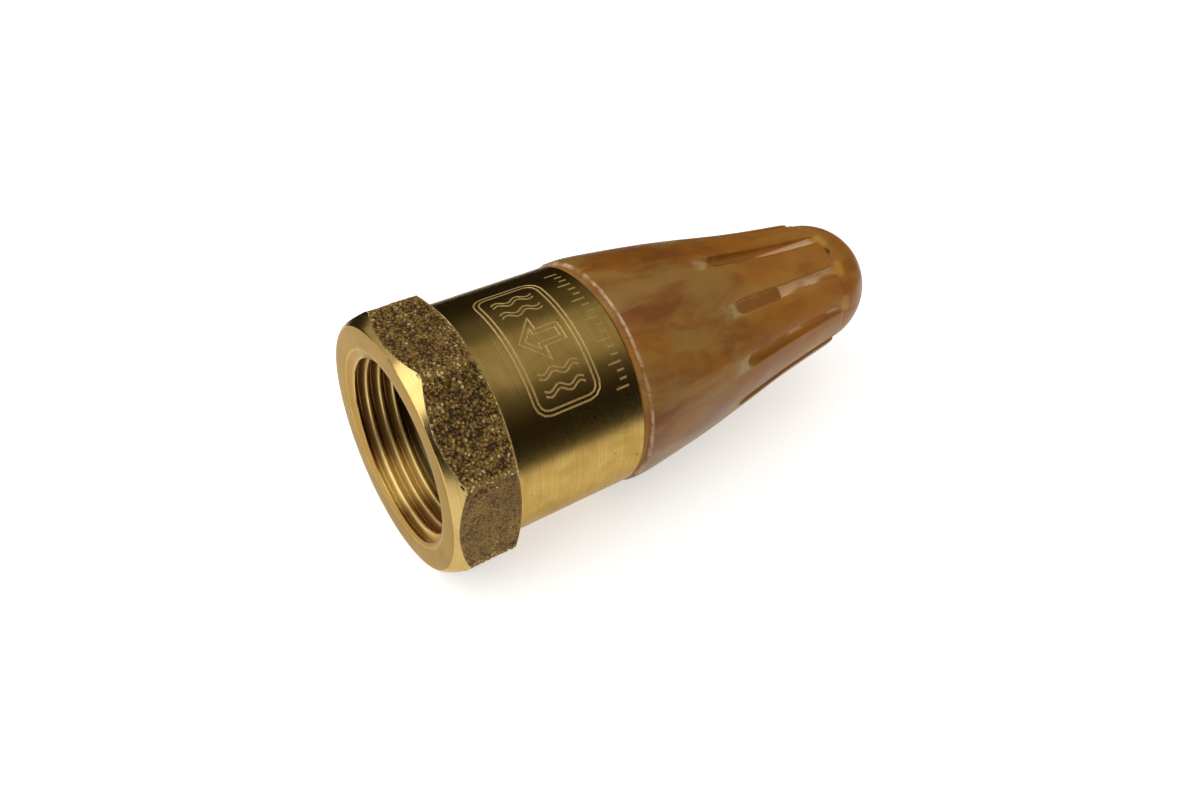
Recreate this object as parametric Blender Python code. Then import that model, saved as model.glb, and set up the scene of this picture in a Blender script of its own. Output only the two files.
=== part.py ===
"""A foot valve for a suction pipe, built as separate sub-parts.

The valve lies on its side. World X is the valve axis and runs from the tapped outlet face to
the tip of the strainer. Every sub-part is drawn upright in a local frame, where local Z is the
distance from the outlet face, and hangs from one empty that lays the axis down.
Sizes are in millimetres up to the point where a mesh is made.
"""

import math

import bmesh
import bpy
from mathutils import Matrix, Vector

MM = 0.001

# Facets round the axis
BODY_FACETS = 60
DISC_FACETS = 40
SLOT_COUNT = 11
STRAINER_FACETS = 6 * SLOT_COUNT
SMALL_FACETS = 24

# Working gaps between neighbours
SEAT_GAP = 0.1
RUNNING_GAP = 0.06
THREAD_GAP = 0.05
SNAP_GAP = 0.15

# How far a cutter reaches past the part, and how far a joined piece reaches into its neighbour
CUT_PAST = 1.0
JOIN_DEPTH = 1.0
JOIN_STEP = 0.1

# Body, outlet end
OCTAGON_SIDES = 8
OCTAGON_FLATS = 42.4
OCTAGON_CORNER = 2.5
OCTAGON_LENGTH = 11.3
CORNER_STEPS = 3
FACE_OUTER = 20.6
FRONT_SLOPE = math.tan(math.radians(44.0))
REAR_SLOPE = math.tan(math.radians(30.0))
THREAD_MINOR = 15.15
MOUTH_FLARE = 1.75
SOCKET_DEPTH = 17.0
STOP_THICK = 1.7

# Body, barrel: its radius sets the bores inside it through the walls and steps
BARREL_RADIUS = 19.85
BARREL_END = 35.6
EDGE_CHAMFER = 0.4
INLET_WALL = 2.85
INLET_DEPTH = 5.8
CHAMBER_STEP = 1.4
STOP_STEP = 1.7
RING_GROOVE_SETBACK = 0.25
RING_GROOVE_DEPTH = 0.75
RING_GROOVE_WIDTH = 1.1

# Seat bush, screwed in from the inlet
GASKET_THICK = 0.9
BUSH_WALL = 2.55
SHOULDER_GAP = 0.3
SHOULDER_STEP = 0.85
SPIGOT_LENGTH = 9.5
SPIGOT_WALL = 2.25
SNAP_GROOVE_SETBACK = 2.8
SNAP_GROOVE_WIDTH = 1.7
SNAP_GROOVE_DEPTH = 0.65
WEB_SETBACK = 1.4
WEB_THICK = 2.0
LIP_HEIGHT = 0.7
LIP_WIDTH = 1.2
LIP_BEVEL = 0.3
PORT_EDGE = 1.0

# Poppet: the chamber leaves an annulus for the flow, and the rest steps in from the disc
FLOW_GAP = 3.4
DISC_THICK = 2.0
SEAL_SETBACK = 0.3
SEAL_THICK = 1.5
SEAL_CHAMFER = 0.2
LIP_COVER = 1.4
WASHER_CLEARANCE = 1.1
WASHER_THICK = 1.0
WASHER_CHAMFER = 0.3
SPRING_BOSS = 5.3
BOSS_HEIGHT = 0.9
LOCK_WIDTH = 1.5
LOCK_THICK = 0.8
LOCK_SWEEP = 345.0
NUT_SIDES = 6
NUT_FLATS = 7.0
NUT_CORNER = 0.2
NUT_THICK = 2.8

# Stem: it reaches past its guides by more than the lift
STEM_RADIUS = 2.0
STEM_TIP = 0.6
STEM_TOP_REACH = 4.8
STEM_TAIL_REACH = 5.0
COLLAR_WIDTH = 1.4
COLLAR_THICK = 1.1

# Guide spider in the chamber
SPIDER_THICK = 2.5
LAND_THICK = 1.9
LAND_WIDTH = 2.1
HUB_RADIUS = 5.3
HUB_RISE = 1.0
HUB_REACH = 1.3
ARM_WIDTH = 3.0
ARM_COUNT = 3
BUSHING_WALL = 0.84
BUSHING_FLANGE = 1.0
BUSHING_FLANGE_THICK = 0.9
RING_WIDTH = 1.55
RING_THICK = 0.9
RING_SWEEP = 325.0

# Lower guide, at the inlet end of the seat bush
LOWER_HUB_RADIUS = 4.0
LOWER_HUB_LENGTH = 3.6
LOWER_HUB_OVERHANG = 1.0
LOWER_ARM_THICK = 1.8
LOWER_ARM_SETBACK = 0.3
LOWER_ARM_TURN = 60.0

# Spring
WIRE_RADIUS = 0.45
SPRING_CLEARANCE = 0.45
SPRING_TURNS = 4.75
CLOSED_TURNS = 0.75
SPRING_STEPS = 18
WIRE_FACETS = 6

# Strainer: distance from the outlet face against outer radius
LIP_OUTER = 19.1
RIM = ((36.65, 19.2), (36.75, 20.0), (37.1, 20.42), (37.6, 20.5))
SHELL = (
    (39.0, 20.38),
    (41.4, 20.1),
    (45.4, 19.64),
    (49.4, 19.14),
    (53.4, 18.58),
    (57.8, 17.88),
    (62.2, 17.1),
    (66.9, 16.25),
    (71.4, 15.45),
    (76.4, 14.65),
    (82.4, 13.8),
    (88.0, 13.05),
    (88.4, 12.8),
)
BEAD_DEPTH = 0.55
SHELL_WALL = 2.3
WALL_STEP_START = 74.0
WALL_STEP_LENGTH = 1.8
DOME_RADIUS = 12.05
DOME_CENTRE = 89.8
DOME_STEPS = 7
DOME_START = -6.0
DOME_WALL = 2.15
CORE_DRAFT = 0.5

# Flutes: each runs from a sloping start to the dome, and opens through the shell as a slot
FLUTE_STEP = 0.25
FLUTE_TOP = 19.5
FLUTE_START = 63.2
FLUTE_RAMP = 4.6
FLUTE_RUNOUT = 1.6
FLUTE_WIDE = 2.6
FLUTE_NARROW = 1.6
FLUTE_PHASE = 41.4
FLUTE_NOSE = 5

# Radii that follow from the walls, steps and clearances above
MOUTH_RADIUS = THREAD_MINOR + MOUTH_FLARE
INLET_BORE = BARREL_RADIUS - INLET_WALL
CHAMBER_RADIUS = INLET_BORE - CHAMBER_STEP
STOP_RADIUS = CHAMBER_RADIUS - STOP_STEP
RING_GROOVE_RADIUS = CHAMBER_RADIUS + RING_GROOVE_DEPTH
BUSH_BORE = INLET_BORE - THREAD_GAP - BUSH_WALL
SPIGOT_RADIUS = INLET_BORE + SHOULDER_STEP
SPIGOT_BORE = SPIGOT_RADIUS - SPIGOT_WALL
SNAP_GROOVE_RADIUS = SPIGOT_RADIUS - SNAP_GROOVE_DEPTH
SKIRT_BORE = SPIGOT_RADIUS + SNAP_GAP
BEAD_RADIUS = SKIRT_BORE - BEAD_DEPTH
DISC_RADIUS = CHAMBER_RADIUS - FLOW_GAP
SEAL_RADIUS = DISC_RADIUS - SEAL_SETBACK
LIP_RADIUS = SEAL_RADIUS - LIP_COVER
PORT_RADIUS = LIP_RADIUS - PORT_EDGE
WASHER_RADIUS = PORT_RADIUS - WASHER_CLEARANCE
STEM_BORE = STEM_RADIUS + RUNNING_GAP
LOOSE_BORE = STEM_RADIUS + SEAT_GAP
BUSHING_RADIUS = STEM_BORE + BUSHING_WALL
SPRING_RADIUS = max(SPRING_BOSS, HUB_RADIUS) + SPRING_CLEARANCE + WIRE_RADIUS
FLUTE_FLOOR = DOME_RADIUS + FLUTE_STEP

# Distances from the outlet face that follow along the axis
CHAMBER_START = SOCKET_DEPTH + STOP_THICK
SPIDER_START = CHAMBER_START + SEAT_GAP
SPIDER_END = SPIDER_START + SPIDER_THICK
LAND_END = SPIDER_START + LAND_THICK
HUB_END = LAND_END + HUB_REACH
HUB_START = SPIDER_START - HUB_RISE
RING_GROOVE_START = SPIDER_END + RING_GROOVE_SETBACK
RING_GROOVE_END = RING_GROOVE_START + RING_GROOVE_WIDTH
INLET_START = BARREL_END - INLET_DEPTH
BUSH_START = INLET_START + 2 * SEAT_GAP + GASKET_THICK
SHOULDER = BARREL_END + SHOULDER_GAP
SPIGOT_END = SHOULDER + SPIGOT_LENGTH
SNAP_GROOVE_START = SHOULDER + SNAP_GROOVE_SETBACK
SNAP_GROOVE_END = SNAP_GROOVE_START + SNAP_GROOVE_WIDTH
WEB_START = SHOULDER + WEB_SETBACK
WEB_END = WEB_START + WEB_THICK
LIP_TOP = WEB_START - LIP_HEIGHT
DISC_END = LIP_TOP - 2 * SEAT_GAP - SEAL_THICK
DISC_START = DISC_END - DISC_THICK
COLLAR_END = DISC_START - BOSS_HEIGHT - SEAT_GAP
SEAL_START = DISC_END + SEAT_GAP
WASHER_START = SEAL_START + SEAL_THICK + SEAT_GAP
LOCK_START = WASHER_START + WASHER_THICK + SEAT_GAP
NUT_START = LOCK_START + LOCK_THICK + SEAT_GAP
LOWER_HUB_END = SPIGOT_END + LOWER_HUB_OVERHANG
LOWER_ARM_END = SPIGOT_END - LOWER_ARM_SETBACK
STEM_START = HUB_START - STEM_TOP_REACH
STEM_END = LOWER_HUB_END + STEM_TAIL_REACH
SKIRT_START = BARREL_END + SHOULDER_GAP
SKIRT_DEPTH = SPIGOT_END + SHOULDER_GAP
FLUTE_END = DOME_CENTRE + FLUTE_RUNOUT
LENGTH = DOME_CENTRE + DOME_RADIUS
AXIS_HEIGHT = max(RIM[-1][1], OCTAGON_FLATS / 2)


def clear_scene():
    for obj in list(bpy.data.objects):
        bpy.data.objects.remove(obj)


def make_material(name, colour, metallic, roughness):
    material = bpy.data.materials.new(name)
    material.use_nodes = True
    shader = material.node_tree.nodes["Principled BSDF"]
    shader.inputs["Base Color"].default_value = (*colour, 1.0)
    shader.inputs["Metallic"].default_value = metallic
    shader.inputs["Roughness"].default_value = roughness
    material.diffuse_color = (*colour, 1.0)
    return material


def add_object(name, shape, axis, material=None):
    """Turns a bmesh into an object that hangs from the axis empty."""
    bmesh.ops.recalc_face_normals(shape, faces=shape.faces)
    mesh = bpy.data.meshes.new(name)
    shape.to_mesh(mesh)
    shape.free()
    obj = bpy.data.objects.new(name, mesh)
    bpy.context.scene.collection.objects.link(obj)
    obj.parent = axis
    if material:
        mesh.materials.append(material)
    return obj


def add_tool(name, shape, axis):
    """A helper for a Boolean: it is not drawn and is not a part."""
    tool = add_object(name, shape, axis)
    tool.hide_render = True
    tool.display_type = "WIRE"
    return tool


def combine(obj, tool, operation):
    modifier = obj.modifiers.new(tool.name, "BOOLEAN")
    modifier.operation = operation
    modifier.solver = "EXACT"
    modifier.object = tool


def polar(radius, degrees, height):
    angle = math.radians(degrees)
    return Vector((radius * math.cos(angle), radius * math.sin(angle), height)) * MM


def revolved(outline, facets, sweep=360.0, first=0.0):
    """A closed outline of (height, radius) points turned about local Z."""
    shape = bmesh.new()
    full = sweep >= 360.0
    columns = facets if full else facets + 1
    angles = [first + sweep * k / facets for k in range(columns)]
    rows = []
    for height, radius in outline:
        if radius <= 0.0:
            rows.append([shape.verts.new(polar(0.0, 0.0, height))] * columns)
        else:
            rows.append([shape.verts.new(polar(radius, angle, height)) for angle in angles])
    count = len(rows)
    for i in range(count):
        low, high = rows[i], rows[(i + 1) % count]
        for k in range(facets):
            m = (k + 1) % columns
            corners = list(dict.fromkeys((low[k], low[m], high[m], high[k])))
            if len(corners) > 2:
                shape.faces.new(corners)
    if not full:
        shape.faces.new([row[0] for row in rows])
        shape.faces.new([row[-1] for row in rows])
    return shape


def tube_outline(start, end, inner, outer, chamfer=0.0):
    """The section of a plain ring, its outer edges broken by a chamfer."""
    if not chamfer:
        return [(start, inner), (start, outer), (end, outer), (end, inner)]
    return [
        (start, inner),
        (start, outer - chamfer),
        (start + chamfer, outer),
        (end - chamfer, outer),
        (end, outer - chamfer),
        (end, inner),
    ]


def prism(outline, start, end):
    """A flat outline of (x, y) points raised along local Z."""
    shape = bmesh.new()
    low = [shape.verts.new(Vector((x, y, start)) * MM) for x, y in outline]
    high = [shape.verts.new(Vector((x, y, end)) * MM) for x, y in outline]
    shape.faces.new(low)
    shape.faces.new(high)
    count = len(outline)
    for i in range(count):
        j = (i + 1) % count
        shape.faces.new((low[i], low[j], high[j], high[i]))
    return shape


def polygon(sides, flats, corner, steps):
    """A regular polygon with rounded corners, one flat facing local +X."""
    half = math.pi / sides
    centre = (flats / 2 - corner) / math.cos(half)
    points = []
    for side in range(sides):
        middle = half * (1 + 2 * side)
        for k in range(steps + 1):
            turn = middle + half * (2 * k / steps - 1)
            x = centre * math.cos(middle) + corner * math.cos(turn)
            y = centre * math.sin(middle) + corner * math.sin(turn)
            points.append((x, y))
    return points


def bar(inner, outer, width, start, end, degrees):
    """A radial arm between two radii."""
    half = width / 2
    outline = [(inner, -half), (outer, -half), (outer, half), (inner, half)]
    shape = prism(outline, start, end)
    turn = Matrix.Rotation(math.radians(degrees), 4, "Z")
    bmesh.ops.transform(shape, matrix=turn, verts=shape.verts)
    return shape


def body_bore():
    """Everything that is turned or tapped out of the body, from the outlet to the inlet."""
    return [
        (-CUT_PAST, 0.0),
        (-CUT_PAST, MOUTH_RADIUS + CUT_PAST),
        (MOUTH_FLARE, THREAD_MINOR),
        (SOCKET_DEPTH, THREAD_MINOR),
        (SOCKET_DEPTH, STOP_RADIUS),
        (CHAMBER_START, STOP_RADIUS),
        (CHAMBER_START, CHAMBER_RADIUS),
        (RING_GROOVE_START, CHAMBER_RADIUS),
        (RING_GROOVE_START, RING_GROOVE_RADIUS),
        (RING_GROOVE_END, RING_GROOVE_RADIUS),
        (RING_GROOVE_END, CHAMBER_RADIUS),
        (INLET_START, CHAMBER_RADIUS),
        (INLET_START, INLET_BORE),
        (BARREL_END + CUT_PAST, INLET_BORE),
        (BARREL_END + CUT_PAST, 0.0),
    ]


def valve_body(axis, material):
    """The cast and turned body: an octagon trimmed by two cones, a barrel, and a stepped bore."""
    outer = OCTAGON_FLATS / 2
    tip = outer / math.cos(math.pi / OCTAGON_SIDES) + CUT_PAST
    plan = polygon(OCTAGON_SIDES, OCTAGON_FLATS, OCTAGON_CORNER, CORNER_STEPS)
    body = add_object("valve_body", prism(plan, 0.0, OCTAGON_LENGTH), axis, material)
    cones = [
        (0.0, 0.0),
        (0.0, FACE_OUTER),
        ((tip - FACE_OUTER) * FRONT_SLOPE, tip),
        (OCTAGON_LENGTH - (tip - outer) * REAR_SLOPE, tip),
        (OCTAGON_LENGTH, outer),
        (OCTAGON_LENGTH + CUT_PAST, outer),
        (OCTAGON_LENGTH + CUT_PAST, 0.0),
    ]
    combine(body, add_tool("octagon_trim", revolved(cones, BODY_FACETS), axis), "INTERSECT")
    barrel = [
        (OCTAGON_LENGTH - JOIN_DEPTH, 0.0),
        (OCTAGON_LENGTH - JOIN_DEPTH, BARREL_RADIUS),
        (BARREL_END - EDGE_CHAMFER, BARREL_RADIUS),
        (BARREL_END, BARREL_RADIUS - EDGE_CHAMFER),
        (BARREL_END, 0.0),
    ]
    combine(body, add_tool("barrel", revolved(barrel, BODY_FACETS), axis), "UNION")
    combine(body, add_tool("bore", revolved(body_bore(), BODY_FACETS), axis), "DIFFERENCE")
    return body


def body_gasket(axis, material):
    start = INLET_START + SEAT_GAP
    outline = tube_outline(start, start + GASKET_THICK, CHAMBER_RADIUS + SEAT_GAP,
                           INLET_BORE - SEAT_GAP)
    return add_object("body_gasket", revolved(outline, BODY_FACETS), axis, material)


def seat_bush(axis, material):
    """The screwed-in bush: shank, seat with its raised lip, spigot, and the lower stem guide."""
    shank = INLET_BORE - THREAD_GAP
    half = LIP_WIDTH / 2
    outline = [
        (BUSH_START, BUSH_BORE),
        (BUSH_START, shank - EDGE_CHAMFER),
        (BUSH_START + EDGE_CHAMFER, shank),
        (SHOULDER, shank),
        (SHOULDER, SPIGOT_RADIUS),
        (SNAP_GROOVE_START, SPIGOT_RADIUS),
        (SNAP_GROOVE_START, SNAP_GROOVE_RADIUS),
        (SNAP_GROOVE_END, SNAP_GROOVE_RADIUS),
        (SNAP_GROOVE_END, SPIGOT_RADIUS),
        (SPIGOT_END - EDGE_CHAMFER, SPIGOT_RADIUS),
        (SPIGOT_END, SPIGOT_RADIUS - EDGE_CHAMFER),
        (SPIGOT_END, SPIGOT_BORE),
        (WEB_END, SPIGOT_BORE),
        (WEB_END, PORT_RADIUS + EDGE_CHAMFER),
        (WEB_END - EDGE_CHAMFER, PORT_RADIUS),
        (LIP_TOP + LIP_BEVEL, PORT_RADIUS),
        (LIP_TOP, LIP_RADIUS - half / 2),
        (LIP_TOP, LIP_RADIUS + half / 2),
        (WEB_START, LIP_RADIUS + half),
        (WEB_START, BUSH_BORE),
    ]
    bush = add_object("seat_bush", revolved(outline, BODY_FACETS), axis, material)
    reach = (LOWER_HUB_RADIUS - JOIN_DEPTH, SPIGOT_BORE + SPIGOT_WALL / 2)
    for k in range(ARM_COUNT):
        turn = LOWER_ARM_TURN + 360 * k / ARM_COUNT
        arm = bar(*reach, ARM_WIDTH, LOWER_ARM_END - LOWER_ARM_THICK, LOWER_ARM_END, turn)
        combine(bush, add_tool(f"lower_arm_{k + 1}", arm, axis), "UNION")
    start = LOWER_HUB_END - LOWER_HUB_LENGTH
    hub = tube_outline(start, LOWER_HUB_END, 0.0, LOWER_HUB_RADIUS, EDGE_CHAMFER)
    combine(bush, add_tool("lower_hub", revolved(hub, SMALL_FACETS), axis), "UNION")
    hole = tube_outline(start - CUT_PAST, LOWER_HUB_END + CUT_PAST, 0.0, STEM_BORE)
    combine(bush, add_tool("lower_hole", revolved(hole, SMALL_FACETS), axis), "DIFFERENCE")
    return bush


def guide_spider(axis, material):
    """The upper stem guide: a rim against the body shoulder, three arms and a hub."""
    outer = CHAMBER_RADIUS - SEAT_GAP
    rim = tube_outline(SPIDER_START, SPIDER_END, STOP_RADIUS, outer, EDGE_CHAMFER)
    spider = add_object("guide_spider", revolved(rim, BODY_FACETS), axis, material)
    reach = (HUB_RADIUS - JOIN_DEPTH, (STOP_RADIUS + CHAMBER_RADIUS) / 2)
    low, high = SPIDER_START + 2 * JOIN_STEP, LAND_END - JOIN_STEP
    for k in range(ARM_COUNT):
        arm = bar(*reach, ARM_WIDTH, low, high, 360 * k / ARM_COUNT)
        combine(spider, add_tool(f"arm_{k + 1}", arm, axis), "UNION")
    hub = [
        (HUB_START, 0.0),
        (HUB_START, HUB_RADIUS - EDGE_CHAMFER),
        (HUB_START + EDGE_CHAMFER, HUB_RADIUS),
        (SPIDER_START + JOIN_STEP, HUB_RADIUS),
        (SPIDER_START + JOIN_STEP, HUB_RADIUS + LAND_WIDTH),
        (LAND_END, HUB_RADIUS + LAND_WIDTH),
        (LAND_END, HUB_RADIUS),
        (HUB_END - EDGE_CHAMFER, HUB_RADIUS),
        (HUB_END, HUB_RADIUS - EDGE_CHAMFER),
        (HUB_END, 0.0),
    ]
    combine(spider, add_tool("hub", revolved(hub, BODY_FACETS), axis), "UNION")
    bore = BUSHING_RADIUS + THREAD_GAP
    hole = tube_outline(HUB_START - CUT_PAST, HUB_END + CUT_PAST, 0.0, bore)
    combine(spider, add_tool("hub_hole", revolved(hole, SMALL_FACETS), axis), "DIFFERENCE")
    return spider


def guide_bushing(axis, material):
    flange = HUB_START - SEAT_GAP
    outline = [
        (flange - BUSHING_FLANGE_THICK, STEM_BORE),
        (flange - BUSHING_FLANGE_THICK, BUSHING_RADIUS + BUSHING_FLANGE),
        (flange, BUSHING_RADIUS + BUSHING_FLANGE),
        (flange, BUSHING_RADIUS),
        (HUB_END, BUSHING_RADIUS),
        (HUB_END, STEM_BORE),
    ]
    return add_object("guide_bushing", revolved(outline, SMALL_FACETS), axis, material)


def spider_ring(axis, material):
    """The open spring ring that keeps the spider against its shoulder."""
    start = (RING_GROOVE_START + RING_GROOVE_END - RING_THICK) / 2
    outer = RING_GROOVE_RADIUS - SEAT_GAP
    outline = tube_outline(start, start + RING_THICK, outer - RING_WIDTH, outer)
    shape = revolved(outline, BODY_FACETS, RING_SWEEP, 180 - RING_SWEEP / 2)
    return add_object("spider_ring", shape, axis, material)


def poppet_stem(axis, material):
    collar = STEM_RADIUS + COLLAR_WIDTH
    outline = [
        (STEM_START, 0.0),
        (STEM_START, STEM_RADIUS - STEM_TIP),
        (STEM_START + STEM_TIP, STEM_RADIUS),
        (COLLAR_END - COLLAR_THICK, STEM_RADIUS),
        (COLLAR_END - COLLAR_THICK, collar),
        (COLLAR_END, collar),
        (COLLAR_END, STEM_RADIUS),
        (STEM_END - STEM_TIP, STEM_RADIUS),
        (STEM_END, STEM_RADIUS - STEM_TIP),
        (STEM_END, 0.0),
    ]
    return add_object("poppet_stem", revolved(outline, SMALL_FACETS), axis, material)


def poppet_disc(axis, material):
    boss = DISC_START - BOSS_HEIGHT
    bevel = DISC_THICK / 2
    outline = [
        (boss, LOOSE_BORE),
        (boss, SPRING_BOSS - EDGE_CHAMFER),
        (boss + EDGE_CHAMFER, SPRING_BOSS),
        (DISC_START, SPRING_BOSS),
        (DISC_START, DISC_RADIUS - bevel),
        (DISC_START + bevel, DISC_RADIUS),
        (DISC_END, DISC_RADIUS),
        (DISC_END, LOOSE_BORE),
    ]
    return add_object("poppet_disc", revolved(outline, DISC_FACETS), axis, material)


def poppet_seal(axis, material):
    end = SEAL_START + SEAL_THICK
    outline = tube_outline(SEAL_START, end, LOOSE_BORE, SEAL_RADIUS, SEAL_CHAMFER)
    return add_object("poppet_seal", revolved(outline, DISC_FACETS), axis, material)


def seal_washer(axis, material):
    end = WASHER_START + WASHER_THICK
    outline = tube_outline(WASHER_START, end, LOOSE_BORE, WASHER_RADIUS, WASHER_CHAMFER)
    return add_object("seal_washer", revolved(outline, DISC_FACETS), axis, material)


def lock_washer(axis, material):
    """A split spring washer, drawn pressed flat."""
    outline = tube_outline(LOCK_START, LOCK_START + LOCK_THICK, LOOSE_BORE, LOOSE_BORE + LOCK_WIDTH)
    shape = revolved(outline, SMALL_FACETS, LOCK_SWEEP)
    return add_object("lock_washer", shape, axis, material)


def stem_nut(axis, material):
    start = NUT_START
    end = start + NUT_THICK
    plan = polygon(NUT_SIDES, NUT_FLATS, NUT_CORNER, 1)
    nut = add_object("stem_nut", prism(plan, start, end), axis, material)
    tip = NUT_FLATS / 2 / math.cos(math.pi / NUT_SIDES) + CUT_PAST
    chamfer = (tip - NUT_FLATS / 2) * REAR_SLOPE
    trim = [
        (start, 0.0),
        (start, NUT_FLATS / 2),
        (start + chamfer, tip),
        (end - chamfer, tip),
        (end, NUT_FLATS / 2),
        (end, 0.0),
    ]
    combine(nut, add_tool("nut_trim", revolved(trim, SMALL_FACETS), axis), "INTERSECT")
    hole = tube_outline(start - CUT_PAST, end + CUT_PAST, 0.0, STEM_RADIUS + THREAD_GAP)
    combine(nut, add_tool("nut_hole", revolved(hole, SMALL_FACETS), axis), "DIFFERENCE")
    return nut


def spring_height(turn, low, high):
    """Height of the wire centre: the end coils lie flat and touch, the rest rise evenly."""
    closed = CLOSED_TURNS
    rise = 2 * WIRE_RADIUS * closed
    if turn < closed:
        return low + rise * turn / closed
    if turn > SPRING_TURNS - closed:
        return high - rise * (SPRING_TURNS - turn) / closed
    share = (turn - closed) / (SPRING_TURNS - 2 * closed)
    return low + rise + (high - low - 2 * rise) * share


def valve_spring(axis, material):
    """A round wire coiled between the spider land and the poppet disc."""
    low = LAND_END + SEAT_GAP + WIRE_RADIUS
    high = DISC_START - SEAT_GAP - WIRE_RADIUS
    shape = bmesh.new()
    steps = round(SPRING_TURNS * SPRING_STEPS)
    rings = []
    for i in range(steps + 1):
        turn = SPRING_TURNS * i / steps
        height = spring_height(turn, low, high)
        ring = []
        for k in range(WIRE_FACETS):
            side = 2 * math.pi * k / WIRE_FACETS
            radius = SPRING_RADIUS + WIRE_RADIUS * math.cos(side)
            point = polar(radius, 360 * turn, height + WIRE_RADIUS * math.sin(side))
            ring.append(shape.verts.new(point))
        rings.append(ring)
    for low_ring, high_ring in zip(rings, rings[1:]):
        for k in range(WIRE_FACETS):
            m = (k + 1) % WIRE_FACETS
            shape.faces.new((low_ring[k], low_ring[m], high_ring[m], high_ring[k]))
    shape.faces.new(rings[0])
    shape.faces.new(rings[-1])
    return add_object("valve_spring", shape, axis, material)


def dome(centre, radius, steps, first):
    """Points of a dome from its widest ring to the tip."""
    points = []
    for k in range(steps + 1):
        angle = math.radians(first + (90 - first) * k / steps)
        points.append((centre + radius * math.sin(angle), radius * math.cos(angle)))
    points[-1] = (centre + radius, 0.0)
    return points


def shell_radius(station):
    """Outer radius of the strainer's shell at a distance from the outlet face."""
    for (s0, r0), (s1, r1) in zip(SHELL, SHELL[1:]):
        if s0 <= station <= s1:
            return r0 + (r1 - r0) * (station - s0) / (s1 - s0)
    return SHELL[0][1]


def strainer_outline():
    outside = [(SKIRT_START, SKIRT_BORE), (SKIRT_START, LIP_OUTER), *RIM, *SHELL]
    outside += dome(DOME_CENTRE, DOME_RADIUS, DOME_STEPS, DOME_START)
    core = DOME_RADIUS - DOME_WALL
    stop = SKIRT_DEPTH + SNAP_GAP
    first = stop + SHELL_WALL
    inside = [(SKIRT_DEPTH, SKIRT_BORE), (stop, shell_radius(stop) - SHELL_WALL)]
    inside += [(s, radius - SHELL_WALL) for s, radius in SHELL if first < s < WALL_STEP_START]
    inside.append((WALL_STEP_START, shell_radius(WALL_STEP_START) - SHELL_WALL))
    inside.append((WALL_STEP_START + WALL_STEP_LENGTH, core + CORE_DRAFT))
    inside += dome(DOME_CENTRE, core, DOME_STEPS - 1, 0.0)
    low, high = SNAP_GROOVE_START + SNAP_GAP, SNAP_GROOVE_END - SNAP_GAP
    bead = [
        (low, SKIRT_BORE),
        (low + BEAD_DEPTH, BEAD_RADIUS),
        (high - SNAP_GAP, BEAD_RADIUS),
        (high, SKIRT_BORE),
    ]
    return outside + list(reversed(bead + inside))


def flute_ring(start, width_start, width_end, height):
    """The plan of a flute at one radius: a round nose at the start, and straight sides."""
    points = []
    half = width_start / 2
    for k in range(FLUTE_NOSE + 1):
        angle = math.pi / 2 + math.pi * k / FLUTE_NOSE
        points.append((height, half * math.sin(angle), start + half + half * math.cos(angle)))
    points.append((height, -width_end / 2, FLUTE_END))
    points.append((height, width_end / 2, FLUTE_END))
    return points


def flutes():
    """All the flute cutters in one mesh, evenly round the axis."""
    shape = bmesh.new()
    for k in range(SLOT_COUNT):
        turn = Matrix.Rotation(math.radians(180 + FLUTE_PHASE + 360 * k / SLOT_COUNT), 4, "Z")
        rings = []
        for height, start in ((FLUTE_FLOOR, FLUTE_START), (FLUTE_TOP, FLUTE_START - FLUTE_RAMP)):
            plan = flute_ring(start, FLUTE_WIDE, FLUTE_NARROW, height)
            rings.append([shape.verts.new(turn @ Vector(point) * MM) for point in plan])
        low, high = rings
        shape.faces.new(low)
        shape.faces.new(high)
        for i in range(len(low)):
            j = (i + 1) % len(low)
            shape.faces.new((low[i], low[j], high[j], high[i]))
    return shape


def strainer(axis, material):
    """The moulded strainer: a skirt that snaps over the spigot, a tapering shell and a dome."""
    shape = revolved(strainer_outline(), STRAINER_FACETS, first=FLUTE_PHASE)
    shell = add_object("strainer", shape, axis, material)
    combine(shell, add_tool("flutes", flutes(), axis), "DIFFERENCE")
    return shell


def main():
    clear_scene()
    brass = make_material("brass", (0.62, 0.43, 0.17), 1.0, 0.3)
    steel = make_material("stainless_steel", (0.6, 0.6, 0.6), 1.0, 0.3)
    rubber = make_material("rubber", (0.02, 0.02, 0.02), 0.0, 0.7)
    fibre = make_material("gasket_fibre", (0.3, 0.08, 0.05), 0.0, 0.8)
    acetal = make_material("acetal", (0.75, 0.73, 0.66), 0.0, 0.4)
    nylon = make_material("strainer_plastic", (0.27, 0.11, 0.03), 0.0, 0.45)
    axis = bpy.data.objects.new("valve_axis", None)
    bpy.context.scene.collection.objects.link(axis)
    axis.location = (-LENGTH / 2 * MM, 0.0, AXIS_HEIGHT * MM)
    axis.rotation_euler = (0.0, math.pi / 2, 0.0)
    for build in (valve_body, seat_bush, poppet_disc, guide_spider):
        build(axis, brass)
    for build in (poppet_stem, seal_washer, lock_washer, stem_nut, valve_spring, spider_ring):
        build(axis, steel)
    poppet_seal(axis, rubber)
    body_gasket(axis, fibre)
    guide_bushing(axis, acetal)
    strainer(axis, nylon)


main()
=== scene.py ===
# %% [markdown]
# # A brass foot valve, dressed for its portrait
# A foot valve hangs at the bottom of a suction pipe. Water comes in through the slotted strainer,
# lifts a spring-loaded poppet and leaves through the tapped brass outlet. The solids of every part
# come ready made in one shared frame. This lesson adds what solids leave out: the pipe thread, the
# sand-cast skin of the octagon, engraved marks, moulding flash, and finishes that react to light.

# %% Load the solids
import math

import bmesh
import bpy
from mathutils import Matrix, Vector, noise


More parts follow.
